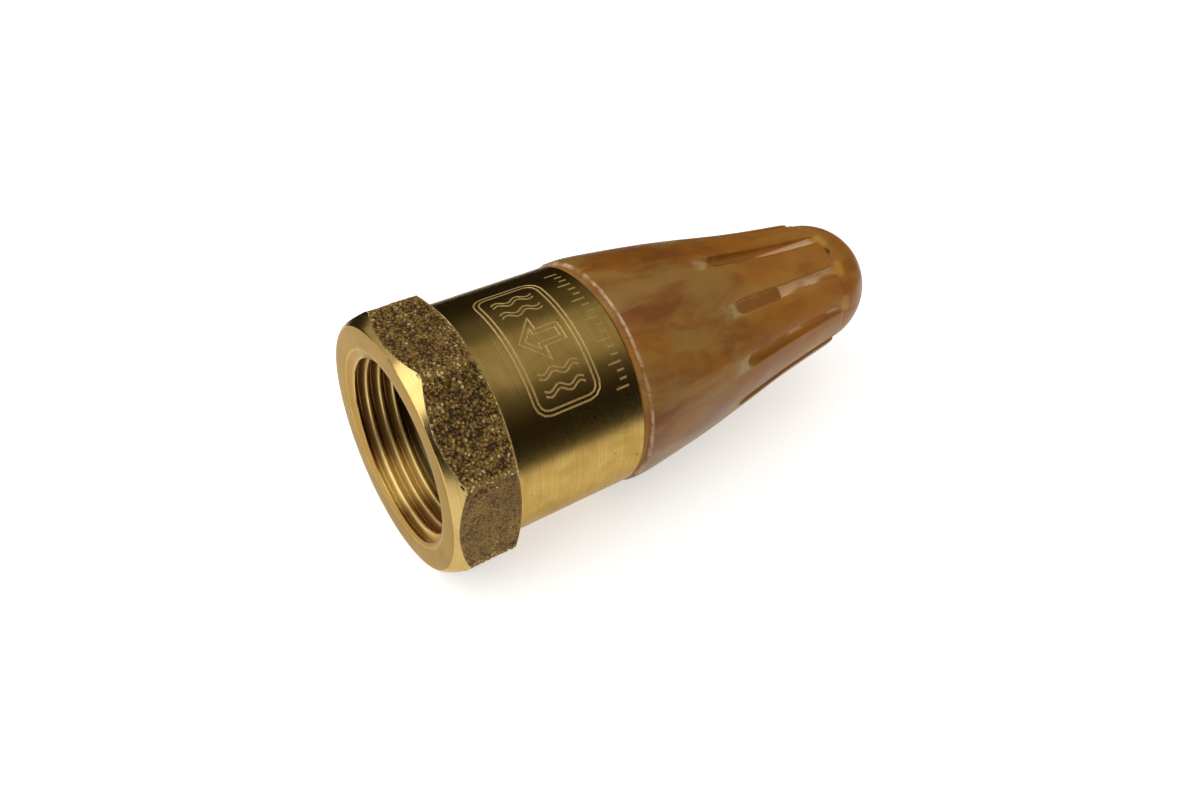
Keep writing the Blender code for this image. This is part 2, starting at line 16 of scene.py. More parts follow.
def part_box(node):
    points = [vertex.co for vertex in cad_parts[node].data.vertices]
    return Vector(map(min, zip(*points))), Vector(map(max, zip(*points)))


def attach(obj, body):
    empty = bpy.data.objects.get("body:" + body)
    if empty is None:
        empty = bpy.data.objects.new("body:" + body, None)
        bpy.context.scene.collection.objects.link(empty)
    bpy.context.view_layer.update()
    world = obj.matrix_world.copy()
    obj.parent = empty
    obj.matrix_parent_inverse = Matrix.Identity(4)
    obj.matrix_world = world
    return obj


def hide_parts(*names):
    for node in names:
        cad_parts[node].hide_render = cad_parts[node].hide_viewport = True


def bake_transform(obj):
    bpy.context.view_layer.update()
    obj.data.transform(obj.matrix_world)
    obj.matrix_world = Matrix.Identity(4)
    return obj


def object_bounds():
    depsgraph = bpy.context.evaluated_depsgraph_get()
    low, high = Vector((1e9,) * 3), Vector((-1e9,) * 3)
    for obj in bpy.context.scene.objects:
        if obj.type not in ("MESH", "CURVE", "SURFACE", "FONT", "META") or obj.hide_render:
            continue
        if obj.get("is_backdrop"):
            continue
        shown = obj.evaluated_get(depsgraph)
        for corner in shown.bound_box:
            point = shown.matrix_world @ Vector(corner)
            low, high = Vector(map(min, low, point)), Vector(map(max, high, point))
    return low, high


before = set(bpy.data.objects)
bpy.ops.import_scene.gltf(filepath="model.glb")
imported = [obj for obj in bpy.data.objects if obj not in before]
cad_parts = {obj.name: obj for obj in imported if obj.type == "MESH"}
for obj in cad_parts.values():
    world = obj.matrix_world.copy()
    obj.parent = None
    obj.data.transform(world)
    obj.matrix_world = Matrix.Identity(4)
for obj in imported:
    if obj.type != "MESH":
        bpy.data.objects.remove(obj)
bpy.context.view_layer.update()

print("solids:", ", ".join(sorted(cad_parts)))

# %% [markdown]
# ## One ruler for the whole valve
# Nearly every surface here is turned about one axis. So a point is easiest to give as a distance
# from the outlet face, a radius, and an angle round the axis. The angle is zero at the top and
# grows towards the camera's side.

# %% Distances along and round the axis
MM = 0.001
body_low, body_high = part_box("valve_body")
FACE_X = body_low[0]
AXIS_Z = (body_low[2] + body_high[2]) / 2


def place(station, radius, angle):
    """A point at a distance from the outlet face and a radius in mm, and an angle in radians."""
    return Vector((
        FACE_X + station * MM,
        -radius * MM * math.sin(angle),
        AXIS_Z + radius * MM * math.cos(angle),
    ))


def mix(a, b, share):
    return a + (b - a) * share


def smooth(low, high, value):
    """0 below low, 1 above high, and a soft step between them."""
    t = min(1.0, max(0.0, (value - low) / (high - low)))
    return t * t * (3 - 2 * t)


print(f"outlet face at x = {FACE_X * 1000:.2f} mm, axis {AXIS_Z * 1000:.2f} mm above the floor")

# %% [markdown]
# ## The camera
# The photograph looks down on the valve from the outlet side. Fitting the round bore, the rim and
# the outline to a pinhole camera gave this place and turn, and a short lens held close.

# %% Camera from the fitted view
camera_data = bpy.data.cameras.new("portrait_camera")
camera_data.sensor_fit = "HORIZONTAL"
camera_data.sensor_width = 36.0
camera_data.lens = 28.613
camera_data.clip_start = 0.005
camera = bpy.data.objects.new("portrait_camera", camera_data)
bpy.context.scene.collection.objects.link(camera)
right = Vector((0.8178432, -0.5717634, 0.0649549))
up = Vector((0.3446535, 0.5770992, 0.7403854))
back = Vector((-0.4608106, -0.5831323, 0.6690369))
turn = Matrix((right, up, back)).transposed().to_4x4()
camera_place = Vector((-0.0907297, -0.1022997, AXIS_Z + 0.1090795))
camera.matrix_world = Matrix.Translation(camera_place) @ turn
bpy.context.scene.camera = camera
print(f"camera {camera_place.length * 1000:.0f} mm from the floor spot under the valve's middle")

# %% [markdown]
# ## A few words for building node trees
# Materials are written as short lists of nodes. One helper adds a node, sets its choices and fills
# its sockets, either with a number or by linking another node's output.

# %% Helpers for nodes


def put(tree, kind, sockets=None, **choices):
    """Adds a node, sets its choices, and fills sockets with values or links."""
    new = tree.nodes.new(kind)
    for key, value in choices.items():
        setattr(new, key, value)
    for key, value in (sockets or {}).items():
        if isinstance(value, bpy.types.NodeSocket):
            tree.links.new(value, new.inputs[key])
        else:
            new.inputs[key].default_value = value
    return new


def maths(tree, operation, a, b=0.0, clamp=False):
    return put(tree, "ShaderNodeMath", {0: a, 1: b}, operation=operation, use_clamp=clamp).outputs[0]


def band(tree, value, low, high, start=0.0, end=1.0):
    """Maps a value softly from low..high to start..end."""
    sockets = {"Value": value, "From Min": low, "From Max": high, "To Min": start, "To Max": end}
    return put(tree, "ShaderNodeMapRange", sockets, interpolation_type="SMOOTHSTEP").outputs["Result"]


def blend_colours(tree, share, first, second, mode="MIX"):
    new = put(tree, "ShaderNodeMix", data_type="RGBA", blend_type=mode)
    for index, value in ((0, share), (6, first), (7, second)):
        if isinstance(value, bpy.types.NodeSocket):
            tree.links.new(value, new.inputs[index])
        elif index == 0:
            new.inputs[0].default_value = value
        else:
            new.inputs[index].default_value = (*value, 1.0)
    return new.outputs[2]


def grain(tree, vector, scale, detail=3.0, roughness=0.55, distortion=0.0):
    sockets = {"Vector": vector, "Scale": scale, "Detail": detail, "Roughness": roughness,
               "Distortion": distortion}
    return put(tree, "ShaderNodeTexNoise", sockets).outputs["Fac"]


def new_group(name, inputs, outputs):
    """An empty node group with named sockets."""
    group = bpy.data.node_groups.new(name, "ShaderNodeTree")
    for label, kind, value in inputs:
        socket = group.interface.new_socket(label, in_out="INPUT", socket_type=kind)
        if value is not None:
            socket.default_value = value
    for label, kind in outputs:
        group.interface.new_socket(label, in_out="OUTPUT", socket_type=kind)
    return group, put(group, "NodeGroupInput"), put(group, "NodeGroupOutput")


def use(tree, group, sockets):
    new = put(tree, "ShaderNodeGroup")
    new.node_tree = group
    for key, value in sockets.items():
        if isinstance(value, bpy.types.NodeSocket):
            tree.links.new(value, new.inputs[key])
        else:
            new.inputs[key].default_value = value
    return new


def new_finish(name, colour):
    """A material with an empty tree but for its shader and output."""
    material = bpy.data.materials.new(name)
    material.use_nodes = True
    material.diffuse_color = (*colour, 1.0)
    tree = material.node_tree
    return material, tree, tree.nodes["Principled BSDF"]


# %% [markdown]
# ## Turning lines
# A lathe tool leaves fine rings on everything it cuts: round a barrel, and in circles on a face.
# Distance along the axis plus distance from it gives one number that changes across both kinds of
# ring, so a single group serves barrels, faces and bores.

# %% Shared group: turning lines
turning, given, result = new_group(
    "Turning lines",
    [("Vector", "NodeSocketVector", None), ("Axis height", "NodeSocketFloat", 0.02),
     ("Rings per mm", "NodeSocketFloat", 2.0), ("Wander", "NodeSocketFloat", 0.04)],
    [("Height", "NodeSocketFloat"), ("Broad bands", "NodeSocketFloat"),
     ("Distance in mm", "NodeSocketFloat")],
)
parts = put(turning, "ShaderNodeSeparateXYZ", {0: given.outputs["Vector"]}).outputs
lifted = maths(turning, "SUBTRACT", parts[2], given.outputs["Axis height"])
across = maths(turning, "POWER", parts[1], 2.0)
upward = maths(turning, "POWER", lifted, 2.0)
radius = maths(turning, "SQRT", maths(turning, "ADD", across, upward))
path = maths(turning, "MULTIPLY", maths(turning, "ADD", parts[0], radius), 1000.0)
drift = maths(turning, "MULTIPLY", grain(turning, given.outputs["Vector"], 220.0, 1.0),
              given.outputs["Wander"])
path = maths(turning, "ADD", path, drift)
rings = maths(turning, "MULTIPLY", path, given.outputs["Rings per mm"])
fine = put(turning, "ShaderNodeTexNoise", {"W": rings, "Scale": 1.0, "Detail": 4.0,
           "Roughness": 0.7}, noise_dimensions="1D").outputs["Fac"]
broad = put(turning, "ShaderNodeTexNoise", {"W": path, "Scale": 0.45, "Detail": 2.0,
            "Roughness": 0.5}, noise_dimensions="1D").outputs["Fac"]
turning.links.new(fine, result.inputs["Height"])
turning.links.new(broad, result.inputs["Broad bands"])
turning.links.new(maths(turning, "MULTIPLY", radius, 1000.0), result.inputs["Distance in mm"])
print("group:", turning.name)

# %% [markdown]
# ## Tarnish and specks
# Handled brass darkens in soft clouds, and its cast metal has tiny open pores. Clouds come from
# stretched noise. Pores come from cell noise, kept only where a second noise allows them, so that
# they gather in patches as they do on real castings.

# %% Shared groups: clouds and pores
clouds, given, result = new_group(
    "Clouds",
    [("Vector", "NodeSocketVector", None), ("Size in mm", "NodeSocketFloat", 8.0),
     ("Softness", "NodeSocketFloat", 0.2)],
    [("Mask", "NodeSocketFloat")],
)
frequency = maths(clouds, "DIVIDE", 1000.0, given.outputs["Size in mm"])
cloud = put(clouds, "ShaderNodeTexNoise", {"Vector": given.outputs["Vector"], "Scale": frequency,
            "Detail": 4.0, "Roughness": 0.6, "Distortion": 0.4}).outputs["Fac"]
low = maths(clouds, "SUBTRACT", 0.5, given.outputs["Softness"])
high = maths(clouds, "ADD", 0.5, given.outputs["Softness"])
clouds.links.new(band(clouds, cloud, low, high), result.inputs["Mask"])

pores, given, result = new_group(
    "Pores",
    [("Vector", "NodeSocketVector", None), ("Size in mm", "NodeSocketFloat", 1.2),
     ("Share", "NodeSocketFloat", 0.35)],
    [("Mask", "NodeSocketFloat")],
)
frequency = maths(pores, "DIVIDE", 1000.0, given.outputs["Size in mm"])
cell = put(pores, "ShaderNodeTexVoronoi", {"Vector": given.outputs["Vector"], "Scale": frequency,
           "Randomness": 1.0})
dot = band(pores, cell.outputs["Distance"], 0.10, 0.24, 1.0, 0.0)
lottery = put(pores, "ShaderNodeSeparateXYZ", {0: cell.outputs["Color"]}).outputs[0]
chosen = maths(pores, "LESS_THAN", lottery, given.outputs["Share"])
pores.links.new(maths(pores, "MULTIPLY", dot, chosen), result.inputs["Mask"])
print("groups:", clouds.name, "and", pores.name)

# %% [markdown]
# ## Turned brass
# The barrel, the outlet face and the bores are cut brass with an olive gold colour. Ring after ring
# catches the light differently, so the lines steer both the roughness and a very shallow bump. A
# darker brown gathers in clouds and pores.

# %% Material: turned brass
SLANT_TINT = (0.84, 0.74, 0.58, 1.0)


def turned_brass(name, light=(0.56, 0.385, 0.115), dark=(0.37, 0.225, 0.05), rough=0.25, depth=0.006,
                 rings_per_mm=2.4, pore_share=0.06, metal=1.0, slant=SLANT_TINT):
    material, tree, shader = new_finish(name, light)
    where = put(tree, "ShaderNodeTexCoord").outputs["Object"]
    lines = use(tree, turning, {"Vector": where, "Axis height": AXIS_Z,
                                "Rings per mm": rings_per_mm, "Wander": 0.05})
    haze = use(tree, clouds, {"Vector": where, "Size in mm": 7.0, "Softness": 0.22})
    pits = use(tree, pores, {"Vector": where, "Size in mm": 1.2, "Share": pore_share})
    tint = blend_colours(tree, maths(tree, "MULTIPLY", haze.outputs["Mask"], 0.75), light, dark)
    streak = band(tree, lines.outputs["Height"], 0.35, 0.65)
    tint = blend_colours(tree, maths(tree, "MULTIPLY", streak, 0.28), tint, (0.28, 0.16, 0.036))
    tint = blend_colours(tree, maths(tree, "MULTIPLY", pits.outputs["Mask"], 0.65), tint,
                         (0.13, 0.075, 0.025))
    tree.links.new(tint, shader.inputs["Base Color"])
    shader.inputs["Metallic"].default_value = metal
    shader.inputs["Specular Tint"].default_value = slant
    uneven = maths(tree, "ADD", band(tree, lines.outputs["Broad bands"], 0.1, 0.9, 0.0, 0.03),
                   band(tree, haze.outputs["Mask"], 0.0, 1.0, 0.0, 0.03))
    uneven = maths(tree, "ADD", uneven, maths(tree, "MULTIPLY", pits.outputs["Mask"], 0.3))
    tree.links.new(maths(tree, "ADD", uneven, rough, clamp=True), shader.inputs["Roughness"])
    relief = maths(tree, "SUBTRACT", lines.outputs["Height"],
                   maths(tree, "MULTIPLY", pits.outputs["Mask"], 1.5))
    bump = put(tree, "ShaderNodeBump", {"Strength": 1.0, "Distance": depth * MM, "Height": relief})
    tree.links.new(bump.outputs[0], shader.inputs["Normal"])
    return material


barrel_brass = turned_brass("barrel_brass")
# The marks take a paler, less metallic copy of the brass: a painted highlight along the strokes.
groove_brass_painted_highlight = turned_brass("engraved_brass_painted_highlight", (0.66, 0.47, 0.19), (0.54, 0.36, 0.13), 0.42, 0.004,
                            metal=0.4)
# The face is a darker copy of the same turned brass: painted shade.
face_brass_painted_shade = turned_brass("face_brass_painted_shade", (0.33, 0.215, 0.06), (0.25, 0.155, 0.04), 0.22, 0.004, 3.2)
# The chamfer cone is a paler copy of the same turned brass: a painted highlight.
cone_brass_painted_highlight = turned_brass("cone_brass_painted_highlight", (0.60, 0.44, 0.17), (0.46, 0.30, 0.09), 0.17, 0.004, 3.2)
print("materials:", *(m.name for m in (barrel_brass, groove_brass_painted_highlight, face_brass_painted_shade, cone_brass_painted_highlight)))

# %% [markdown]
# ## Tapped brass
# The crests of the thread are polished bright and the grooves between them have gone brown. The distance from the
# axis tells one from the other. An attribute written later paints shade on the far side of each groove, weaker at the
# bottom, and a painted golden glint across the lower wall. The mouth chamfer is painted darker and the brass further
# in is painted nearly black: both are painted shade.

# %% Material: tapped brass
tapped_brass, tree, shader = new_finish("tapped_brass", (0.5, 0.33, 0.12))
where = put(tree, "ShaderNodeTexCoord").outputs["Object"]
lines = use(tree, turning, {"Vector": where, "Axis height": AXIS_Z, "Rings per mm": 5.0, "Wander": 0.02})
haze = use(tree, clouds, {"Vector": where, "Size in mm": 4.0, "Softness": 0.25})
root = band(tree, lines.outputs["Distance in mm"], 15.2, 15.9)
tint = blend_colours(tree, root, (0.74, 0.54, 0.23), (0.62, 0.34, 0.085))
tint = blend_colours(tree, maths(tree, "MULTIPLY", haze.outputs["Mask"], 0.4), tint, (0.50, 0.27, 0.06))
# Painted shade and painted glint: this attribute darkens the far side of each groove, and where it is negative it
# paints a bright golden glint on the lower bore wall.
shade = put(tree, "ShaderNodeAttribute", attribute_name="painted_groove_shade_and_glint").outputs["Fac"]
tint = blend_colours(tree, maths(tree, "MULTIPLY", shade, 0.88, clamp=True), tint, (0.13, 0.055, 0.013))
painted_glint = maths(tree, "MULTIPLY", shade, -1.0, clamp=True)
tint = blend_colours(tree, maths(tree, "MULTIPLY", painted_glint, 0.9), tint, (1.0, 0.76, 0.28))
inward = put(tree, "ShaderNodeSeparateXYZ", {0: where}).outputs[0]
# Painted shade: the mouth chamfer is painted darker brown, in place of a darker reflection there.
mouth_painted_shade = band(tree, inward, FACE_X + 1.0 * MM, FACE_X + 0.4 * MM)
tint = blend_colours(tree, maths(tree, "MULTIPLY", mouth_painted_shade, 0.85), tint, (0.36, 0.22, 0.055))
# Painted shade: further into the bore the brass is painted nearly black, where little light reaches.
deep = band(tree, inward, FACE_X + 7.4 * MM, FACE_X + 9.2 * MM)
tint = blend_colours(tree, maths(tree, "MULTIPLY", deep, 0.85), tint, (0.05, 0.025, 0.01))
tree.links.new(tint, shader.inputs["Base Color"])
shader.inputs["Metallic"].default_value = 0.75
shader.inputs["Specular Tint"].default_value = SLANT_TINT
glint_roughness = maths(tree, "MULTIPLY", painted_glint, 0.22)
tree.links.new(maths(tree, "ADD", glint_roughness, band(tree, haze.outputs["Mask"], 0.0, 1.0, 0.26, 0.34)),
               shader.inputs["Roughness"])
bump = put(tree, "ShaderNodeBump", {"Strength": 1.0, "Distance": 0.002 * MM,
                                    "Height": lines.outputs["Height"]})
tree.links.new(bump.outputs[0], shader.inputs["Normal"])
print("material:", tapped_brass.name)

# %% [markdown]
# ## Cast brass
# The flats of the octagon are left as they came from the sand mould: grains of gold with dark oxide between them. The
# big grains will be real geometry, which also writes how deep each point lies to an attribute; on the lower flats
# that value is raised, a painted shade. The material reads that, and adds the small grains as bump. The pale tops of
# the grains are partly bright metal and partly a painted glint.

# %% Material: cast brass
cast_brass, tree, shader = new_finish("cast_brass", (0.45, 0.3, 0.12))
where = put(tree, "ShaderNodeTexCoord").outputs["Object"]
pit_and_shade = put(tree, "ShaderNodeAttribute", attribute_name="pit_depth_and_lower_shade").outputs["Fac"]
speck = put(tree, "ShaderNodeTexVoronoi", {"Vector": where, "Scale": 2600.0, "Randomness": 1.0})
crumbs = grain(tree, where, 2700.0, 3.0, 0.6)
haze = use(tree, clouds, {"Vector": where, "Size in mm": 5.0, "Softness": 0.25})
deep = maths(tree, "ADD", pit_and_shade, maths(tree, "MULTIPLY", maths(tree, "SUBTRACT", crumbs, 0.5), 1.1))
oxide = band(tree, deep, 0.45, 1.05)
metal = blend_colours(tree, haze.outputs["Mask"], (0.40, 0.235, 0.055), (0.29, 0.165, 0.036))
tint = blend_colours(tree, oxide, metal, (0.062, 0.030, 0.008))
# The pale peaks are partly bright metal and partly a painted glint.
peak = band(tree, deep, 0.30, 0.10)
tint = blend_colours(tree, maths(tree, "MULTIPLY", peak, 0.9), tint, (1.0, 0.82, 0.38))
tree.links.new(tint, shader.inputs["Base Color"])
tree.links.new(band(tree, peak, 0.0, 1.0, 0.45, 0.6), shader.inputs["Metallic"])
tree.links.new(band(tree, peak, 0.0, 1.0, 0.6, 0.3), shader.inputs["Roughness"])
relief = maths(tree, "SUBTRACT", crumbs, maths(tree, "MULTIPLY", speck.outputs["Distance"], 0.5))
bump = put(tree, "ShaderNodeBump", {"Strength": 1.0, "Distance": 0.30 * MM, "Height": relief})
tree.links.new(bump.outputs[0], shader.inputs["Normal"])
print("material:", cast_brass.name)

# %% [markdown]
# ## The body's outline
# Cut the body along its axis and the knife would leave one closed outline: face, chamfer, flat,
# barrel, then back through the stepped bore and the thread. Turning that outline makes the body.
# Only the octagon isn't round, so its rows ask for the radius at each angle.

# %% Octagon and cones
HALF_SIDE = math.pi / 8
OCT_HALF, OCT_CORNER, OCT_END = 21.2, 2.5, 11.3
FACE_OUTER = 20.6
FRONT = math.tan(math.radians(44.0))
REAR = math.tan(math.radians(30.0))
BARREL, BARREL_END = 19.85, 35.6


def oct_radius(angle):
    """Distance from the axis to the rounded octagon, one flat on top."""
    part = abs((angle + HALF_SIDE) % (2 * HALF_SIDE) - HALF_SIDE)
    centre = (OCT_HALF - OCT_CORNER) / math.cos(HALF_SIDE)
    if part <= math.atan2(centre * math.sin(HALF_SIDE), OCT_HALF):
        return OCT_HALF / math.cos(part)
    off = HALF_SIDE - part
    return centre * math.cos(off) + math.sqrt(OCT_CORNER ** 2 - (centre * math.sin(off)) ** 2)


def oct_front(angle):
    return (oct_radius(angle) - FACE_OUTER) * FRONT


def oct_rear(angle):
    return OCT_END - (oct_radius(angle) - OCT_HALF) * REAR


print(f"corner radius {oct_radius(HALF_SIDE):.2f} mm, chamfer there {oct_front(HALF_SIDE):.2f} mm long")

# %% [markdown]
# ## The pipe thread
# A thread is one groove that climbs a pitch with each turn. If the rows of the mesh climb with it,
# each crest is one clean line of edges and few faces are needed. At both ends the rows are pressed
# flat against a ring, and the points that land on each other are merged.

# %% Thread profile
PITCH, MINOR, MAJOR = 2.309, 15.15, 16.62
SOCKET_END, MOUTH = 17.0, 16.9
START_TURN = 0.53
MOUTH_SLOPE = 2.2
THREAD_ROWS = ((0.0, 0.0), (0.055, 0.02), (0.12, 0.12), (0.20, 0.33), (0.30, 0.67), (0.38, 0.88),
               (0.445, 0.98), (0.5, 1.0), (0.555, 0.98), (0.62, 0.88), (0.70, 0.67), (0.80, 0.33),
               (0.88, 0.12), (0.945, 0.02))


def thread_radius(station, height):
    """The bore with its thread, which fades out before the shoulder and opens at the mouth."""
    fade = 1.0 - smooth(14.6, 16.1, station)
    return max(MINOR + (MAJOR - MINOR) * height * fade, MOUTH - MOUTH_SLOPE * station)


print(f"{SOCKET_END / PITCH:.1f} turns of thread")

# %% Body mesh in bands
OUTER_COLUMNS, FLAT_COLUMNS, INNER_COLUMNS = 384, 768, 192
FLAT_ROWS = 58


def steps(start, end, count):
    return [mix(start, end, k / count) for k in range(1, count + 1)]


face_rows = [lambda a, r=r: (0.0, r) for r in [17.08] + steps(17.08, FACE_OUTER - 0.08, 4)]
for t in [0.03] + steps(0.03, 0.97, 6):
    face_rows.append(lambda a, t=t: (oct_front(a) * t, mix(FACE_OUTER, oct_radius(a), t)))
flat_rows = []
for t in range(FLAT_ROWS + 1):
    flat_rows.append(lambda a, t=t / FLAT_ROWS: (mix(oct_front(a) + 0.05, oct_rear(a) - 0.1, t), oct_radius(a)))
for t in steps(0.0, 1.0, 4):
    flat_rows.append(lambda a, t=t: (mix(oct_rear(a), OCT_END, t), mix(oct_radius(a), OCT_HALF, t) - 0.05))
barrel_rows = [lambda a: (OCT_END + 0.02, OCT_HALF - 0.3), lambda a: (OCT_END + 0.05, BARREL + 0.25),
               lambda a: (OCT_END + 0.15, BARREL + 0.07), lambda a: (OCT_END + 0.35, BARREL)]
for s in steps(OCT_END + 0.35, BARREL_END - 0.45, 14):
    barrel_rows.append(lambda a, s=s: (s, BARREL))
for back_by, r in ((0.37, 19.81), (0.04, 19.48), (0.0, 19.40), (0.0, 18.3), (0.0, 17.2)):
    barrel_rows.append(lambda a, s=BARREL_END - back_by, r=r: (s, r))

bore_rows = [(35.42, 17.0), (32.4, 17.0), (29.82, 17.0), (29.8, 16.98), (29.8, 15.8), (29.6, 15.6),
             (26.4, 15.6), (22.65, 15.6), (22.65, 16.35), (21.55, 16.35), (21.55, 15.6), (18.72, 15.6),
             (18.7, 15.58), (18.7, 14.0), (18.6, 13.9), (17.1, 13.9), (SOCKET_END, 14.0), (SOCKET_END, MINOR)]


def turn_ring(shape, columns, row):
    ring = []
    for k in range(columns):
        angle = 2 * math.pi * k / columns
        ring.append(shape.verts.new(place(*row(angle), angle)))
    return ring


def join_rings(shape, first, second, slot=0):
    """Faces between two rings of the same count, or of one and twice the count."""
    count = min(len(first), len(second))
    for k in range(count):
        m = (k + 1) % count
        if len(first) == len(second):
            corners = (first[k], first[m], second[m], second[k])
        elif len(first) > len(second):
            corners = (first[2 * k], first[2 * k + 1], first[(2 * k + 2) % len(first)], second[m], second[k])
        else:
            corners = (first[k], first[m], second[(2 * k + 2) % len(second)], second[2 * k + 1], second[2 * k])
        shape.faces.new(corners).material_index = slot


BODY_FINISHES = (barrel_brass, cast_brass, groove_brass_painted_highlight, tapped_brass, face_brass_painted_shade, cone_brass_painted_highlight)
shape = bmesh.new()
rings = [turn_ring(shape, OUTER_COLUMNS, row) for row in face_rows]
cast_first = len(rings)
rings += [turn_ring(shape, FLAT_COLUMNS, row) for row in flat_rows]
cast_last = len(rings)
rings += [turn_ring(shape, OUTER_COLUMNS, row) for row in barrel_rows]
rings += [turn_ring(shape, INNER_COLUMNS, lambda a, row=row: row) for row in bore_rows]
for k in range(1, len(rings)):
    finish = 1 if cast_first <= k < cast_last else 4 if k < 5 else 5 if k < len(face_rows) else 0
    join_rings(shape, rings[k - 1], rings[k], finish)

per_turn = len(THREAD_ROWS)
turns = math.ceil(SOCKET_END / PITCH) + 1
lines = []
for i in range(-2 * per_turn, turns * per_turn):
    rise, height = THREAD_ROWS[i % per_turn]
    line = []
    for k in range(INNER_COLUMNS + 1):
        share = k / INNER_COLUMNS
        station = min(SOCKET_END, max(0.08, PITCH * (i // per_turn + rise + share + START_TURN)))
        line.append((station, thread_radius(station, height), 2 * math.pi * share))
    lines.append(line)
grid = [[shape.verts.new(place(*point)) for point in line] for line in lines]
for low, high in zip(grid, grid[1:]):
    for k in range(INNER_COLUMNS):
        shape.faces.new((low[k], low[k + 1], high[k + 1], high[k])).material_index = 3
mouth = turn_ring(shape, INNER_COLUMNS, lambda a: (0.08, MOUTH - 0.08 * MOUTH_SLOPE))
join_rings(shape, mouth, rings[0])
bmesh.ops.remove_doubles(shape, verts=shape.verts, dist=0.0004 * MM)
loose = [v for v in shape.verts if not v.link_faces]
bmesh.ops.delete(shape, geom=loose, context="VERTS")
bmesh.ops.recalc_face_normals(shape, faces=shape.faces)
gaps = sum(1 for e in shape.edges if not e.is_manifold)
body_mesh = bpy.data.meshes.new("brass_body")
shape.to_mesh(body_mesh)
shape.free()
for finish in BODY_FINISHES:
    body_mesh.materials.append(finish)
brass_body = bpy.data.objects.new("brass_body", body_mesh)
bpy.context.scene.collection.objects.link(brass_body)
print("body faces:", len(body_mesh.polygons), "open edges:", gaps)

# %% [markdown]
# ## Engraved marks
# The barrel of the real valve carries engraved lines. Here they are a plain flow arrow in a double
# border, water lines and a row of ticks, none of which stands for a maker. Each stroke is a thin bent
# wedge, and a Boolean cuts all of them into the barrel at once.

# %% Strokes bent round the barrel
MARK_ANGLE = math.radians(20.5)


def stroke(shape, points, width=0.40, depth=0.11, closed=False):
    """A wedge-shaped cutter along a line of (station, arc length) points."""
    count = len(points)
    rails = []
    for i in range(count):
        here = Vector(points[i])
        before = Vector(points[i - 1]) if closed or i else None
        after = Vector(points[(i + 1) % count]) if closed or i < count - 1 else None
        first = (here - before).normalized() if before else (after - here).normalized()
        second = (after - here).normalized() if after else first
        side = Vector((-(first + second).y, (first + second).x)).normalized()
        reach = width / 2 / max(0.5, side.dot(Vector((-first.y, first.x))))
        rail = []
        for share, radius in ((0.3, BARREL - depth), (-0.3, BARREL - depth), (-1.25, BARREL + 0.1),
                              (1.25, BARREL + 0.1)):
            s, arc = here + side * reach * share
            rail.append(shape.verts.new(place(s, radius, MARK_ANGLE + arc / BARREL)))
        rails.append(rail)
    pairs = list(zip(rails, rails[1:])) + ([(rails[-1], rails[0])] if closed else [])
    for one, two in pairs:
        for k in range(4):
            m = (k + 1) % 4
            shape.faces.new((one[k], one[m], two[m], two[k]))
    if not closed:
        shape.faces.new(rails[0])
        shape.faces.new(rails[-1])


def along(corners, closed=False, gap=0.9):
    """Adds points between corners, so that a stroke bends with the barrel."""
    points = []
    ends = corners[1:] + corners[:1] if closed else corners[1:]
    for a, b in zip(corners, ends):
        a, b = Vector(a), Vector(b)
        count = max(1, round((b - a).length / gap))
        points += [a.lerp(b, k / count) for k in range(count)]
    if not closed:
        points.append(Vector(corners[-1]))
    return points


def round_box(low, high, reach, corner):
    """Corners of a box with rounded ends."""
    points = []
    for cs, ca, start in ((high, reach, 0), (low, reach, 90), (low, -reach, 180), (high, -reach, 270)):
        centre = Vector((cs - math.copysign(corner, cs - (low + high) / 2), ca - math.copysign(corner, ca)))
        for k in range(4):
            angle = math.radians(start + 30 * k)
            points.append(centre + corner * Vector((math.cos(angle), math.sin(angle))))
    return points


marks = bmesh.new()
for inset in (0.0, 0.8):
    frame_line = round_box(17.0 + inset, 28.8 - inset, 12.0 - inset, 2.4 - inset)
    stroke(marks, along(frame_line, True), closed=True)
for tip, heel, reach, shaft, end in ((19.1, 22.8, 3.9, 1.6, 26.7), (20.2, 22.0, 1.9, 0.8, 25.9)):
    arrow = [(tip, 0.0), (heel, reach), (heel, shaft), (end, shaft), (end, -shaft), (heel, -shaft),
             (heel, -reach)]
    stroke(marks, along(arrow, True), closed=True)
for side in (-1, 1):
    for reach in (5.4, 6.2, 8.2, 9.0):
        wave = [(19.4 + 0.45 * k, side * (reach + 0.42 * math.sin(0.45 * k * 1.75))) for k in range(17)]
        stroke(marks, [Vector(p) for p in wave])
for k in range(-9, 10):
    length = 2.4 if k % 3 == 0 else 1.3
    stroke(marks, [Vector((33.6 - length, k * 1.35)), Vector((33.6, k * 1.35))], 0.4, 0.14)
bmesh.ops.recalc_face_normals(marks, faces=marks.faces)
for face in marks.faces:
    face.material_index = 2
mark_mesh = bpy.data.meshes.new("mark_cutter")
marks.to_mesh(mark_mesh)
marks.free()
for finish in BODY_FINISHES:
    mark_mesh.materials.append(finish)
mark_cutter = bpy.data.objects.new("mark_cutter", mark_mesh)
bpy.context.scene.collection.objects.link(mark_cutter)


def cut(target, cutter):
    """Subtracts the cutter from the target and bakes the result into its mesh."""
    modifier = target.modifiers.new("cut", "BOOLEAN")
    modifier.operation = "DIFFERENCE"
    modifier.solver = "EXACT"
    modifier.object = cutter
    bpy.context.view_layer.update()
    graph = bpy.context.evaluated_depsgraph_get()
    done = bpy.data.meshes.new_from_object(target.evaluated_get(graph))
    target.modifiers.clear()
    target.data = done
    bpy.data.objects.remove(cutter)
    return done


body_mesh = cut(brass_body, mark_cutter)
print("faces after engraving:", len(body_mesh.polygons))

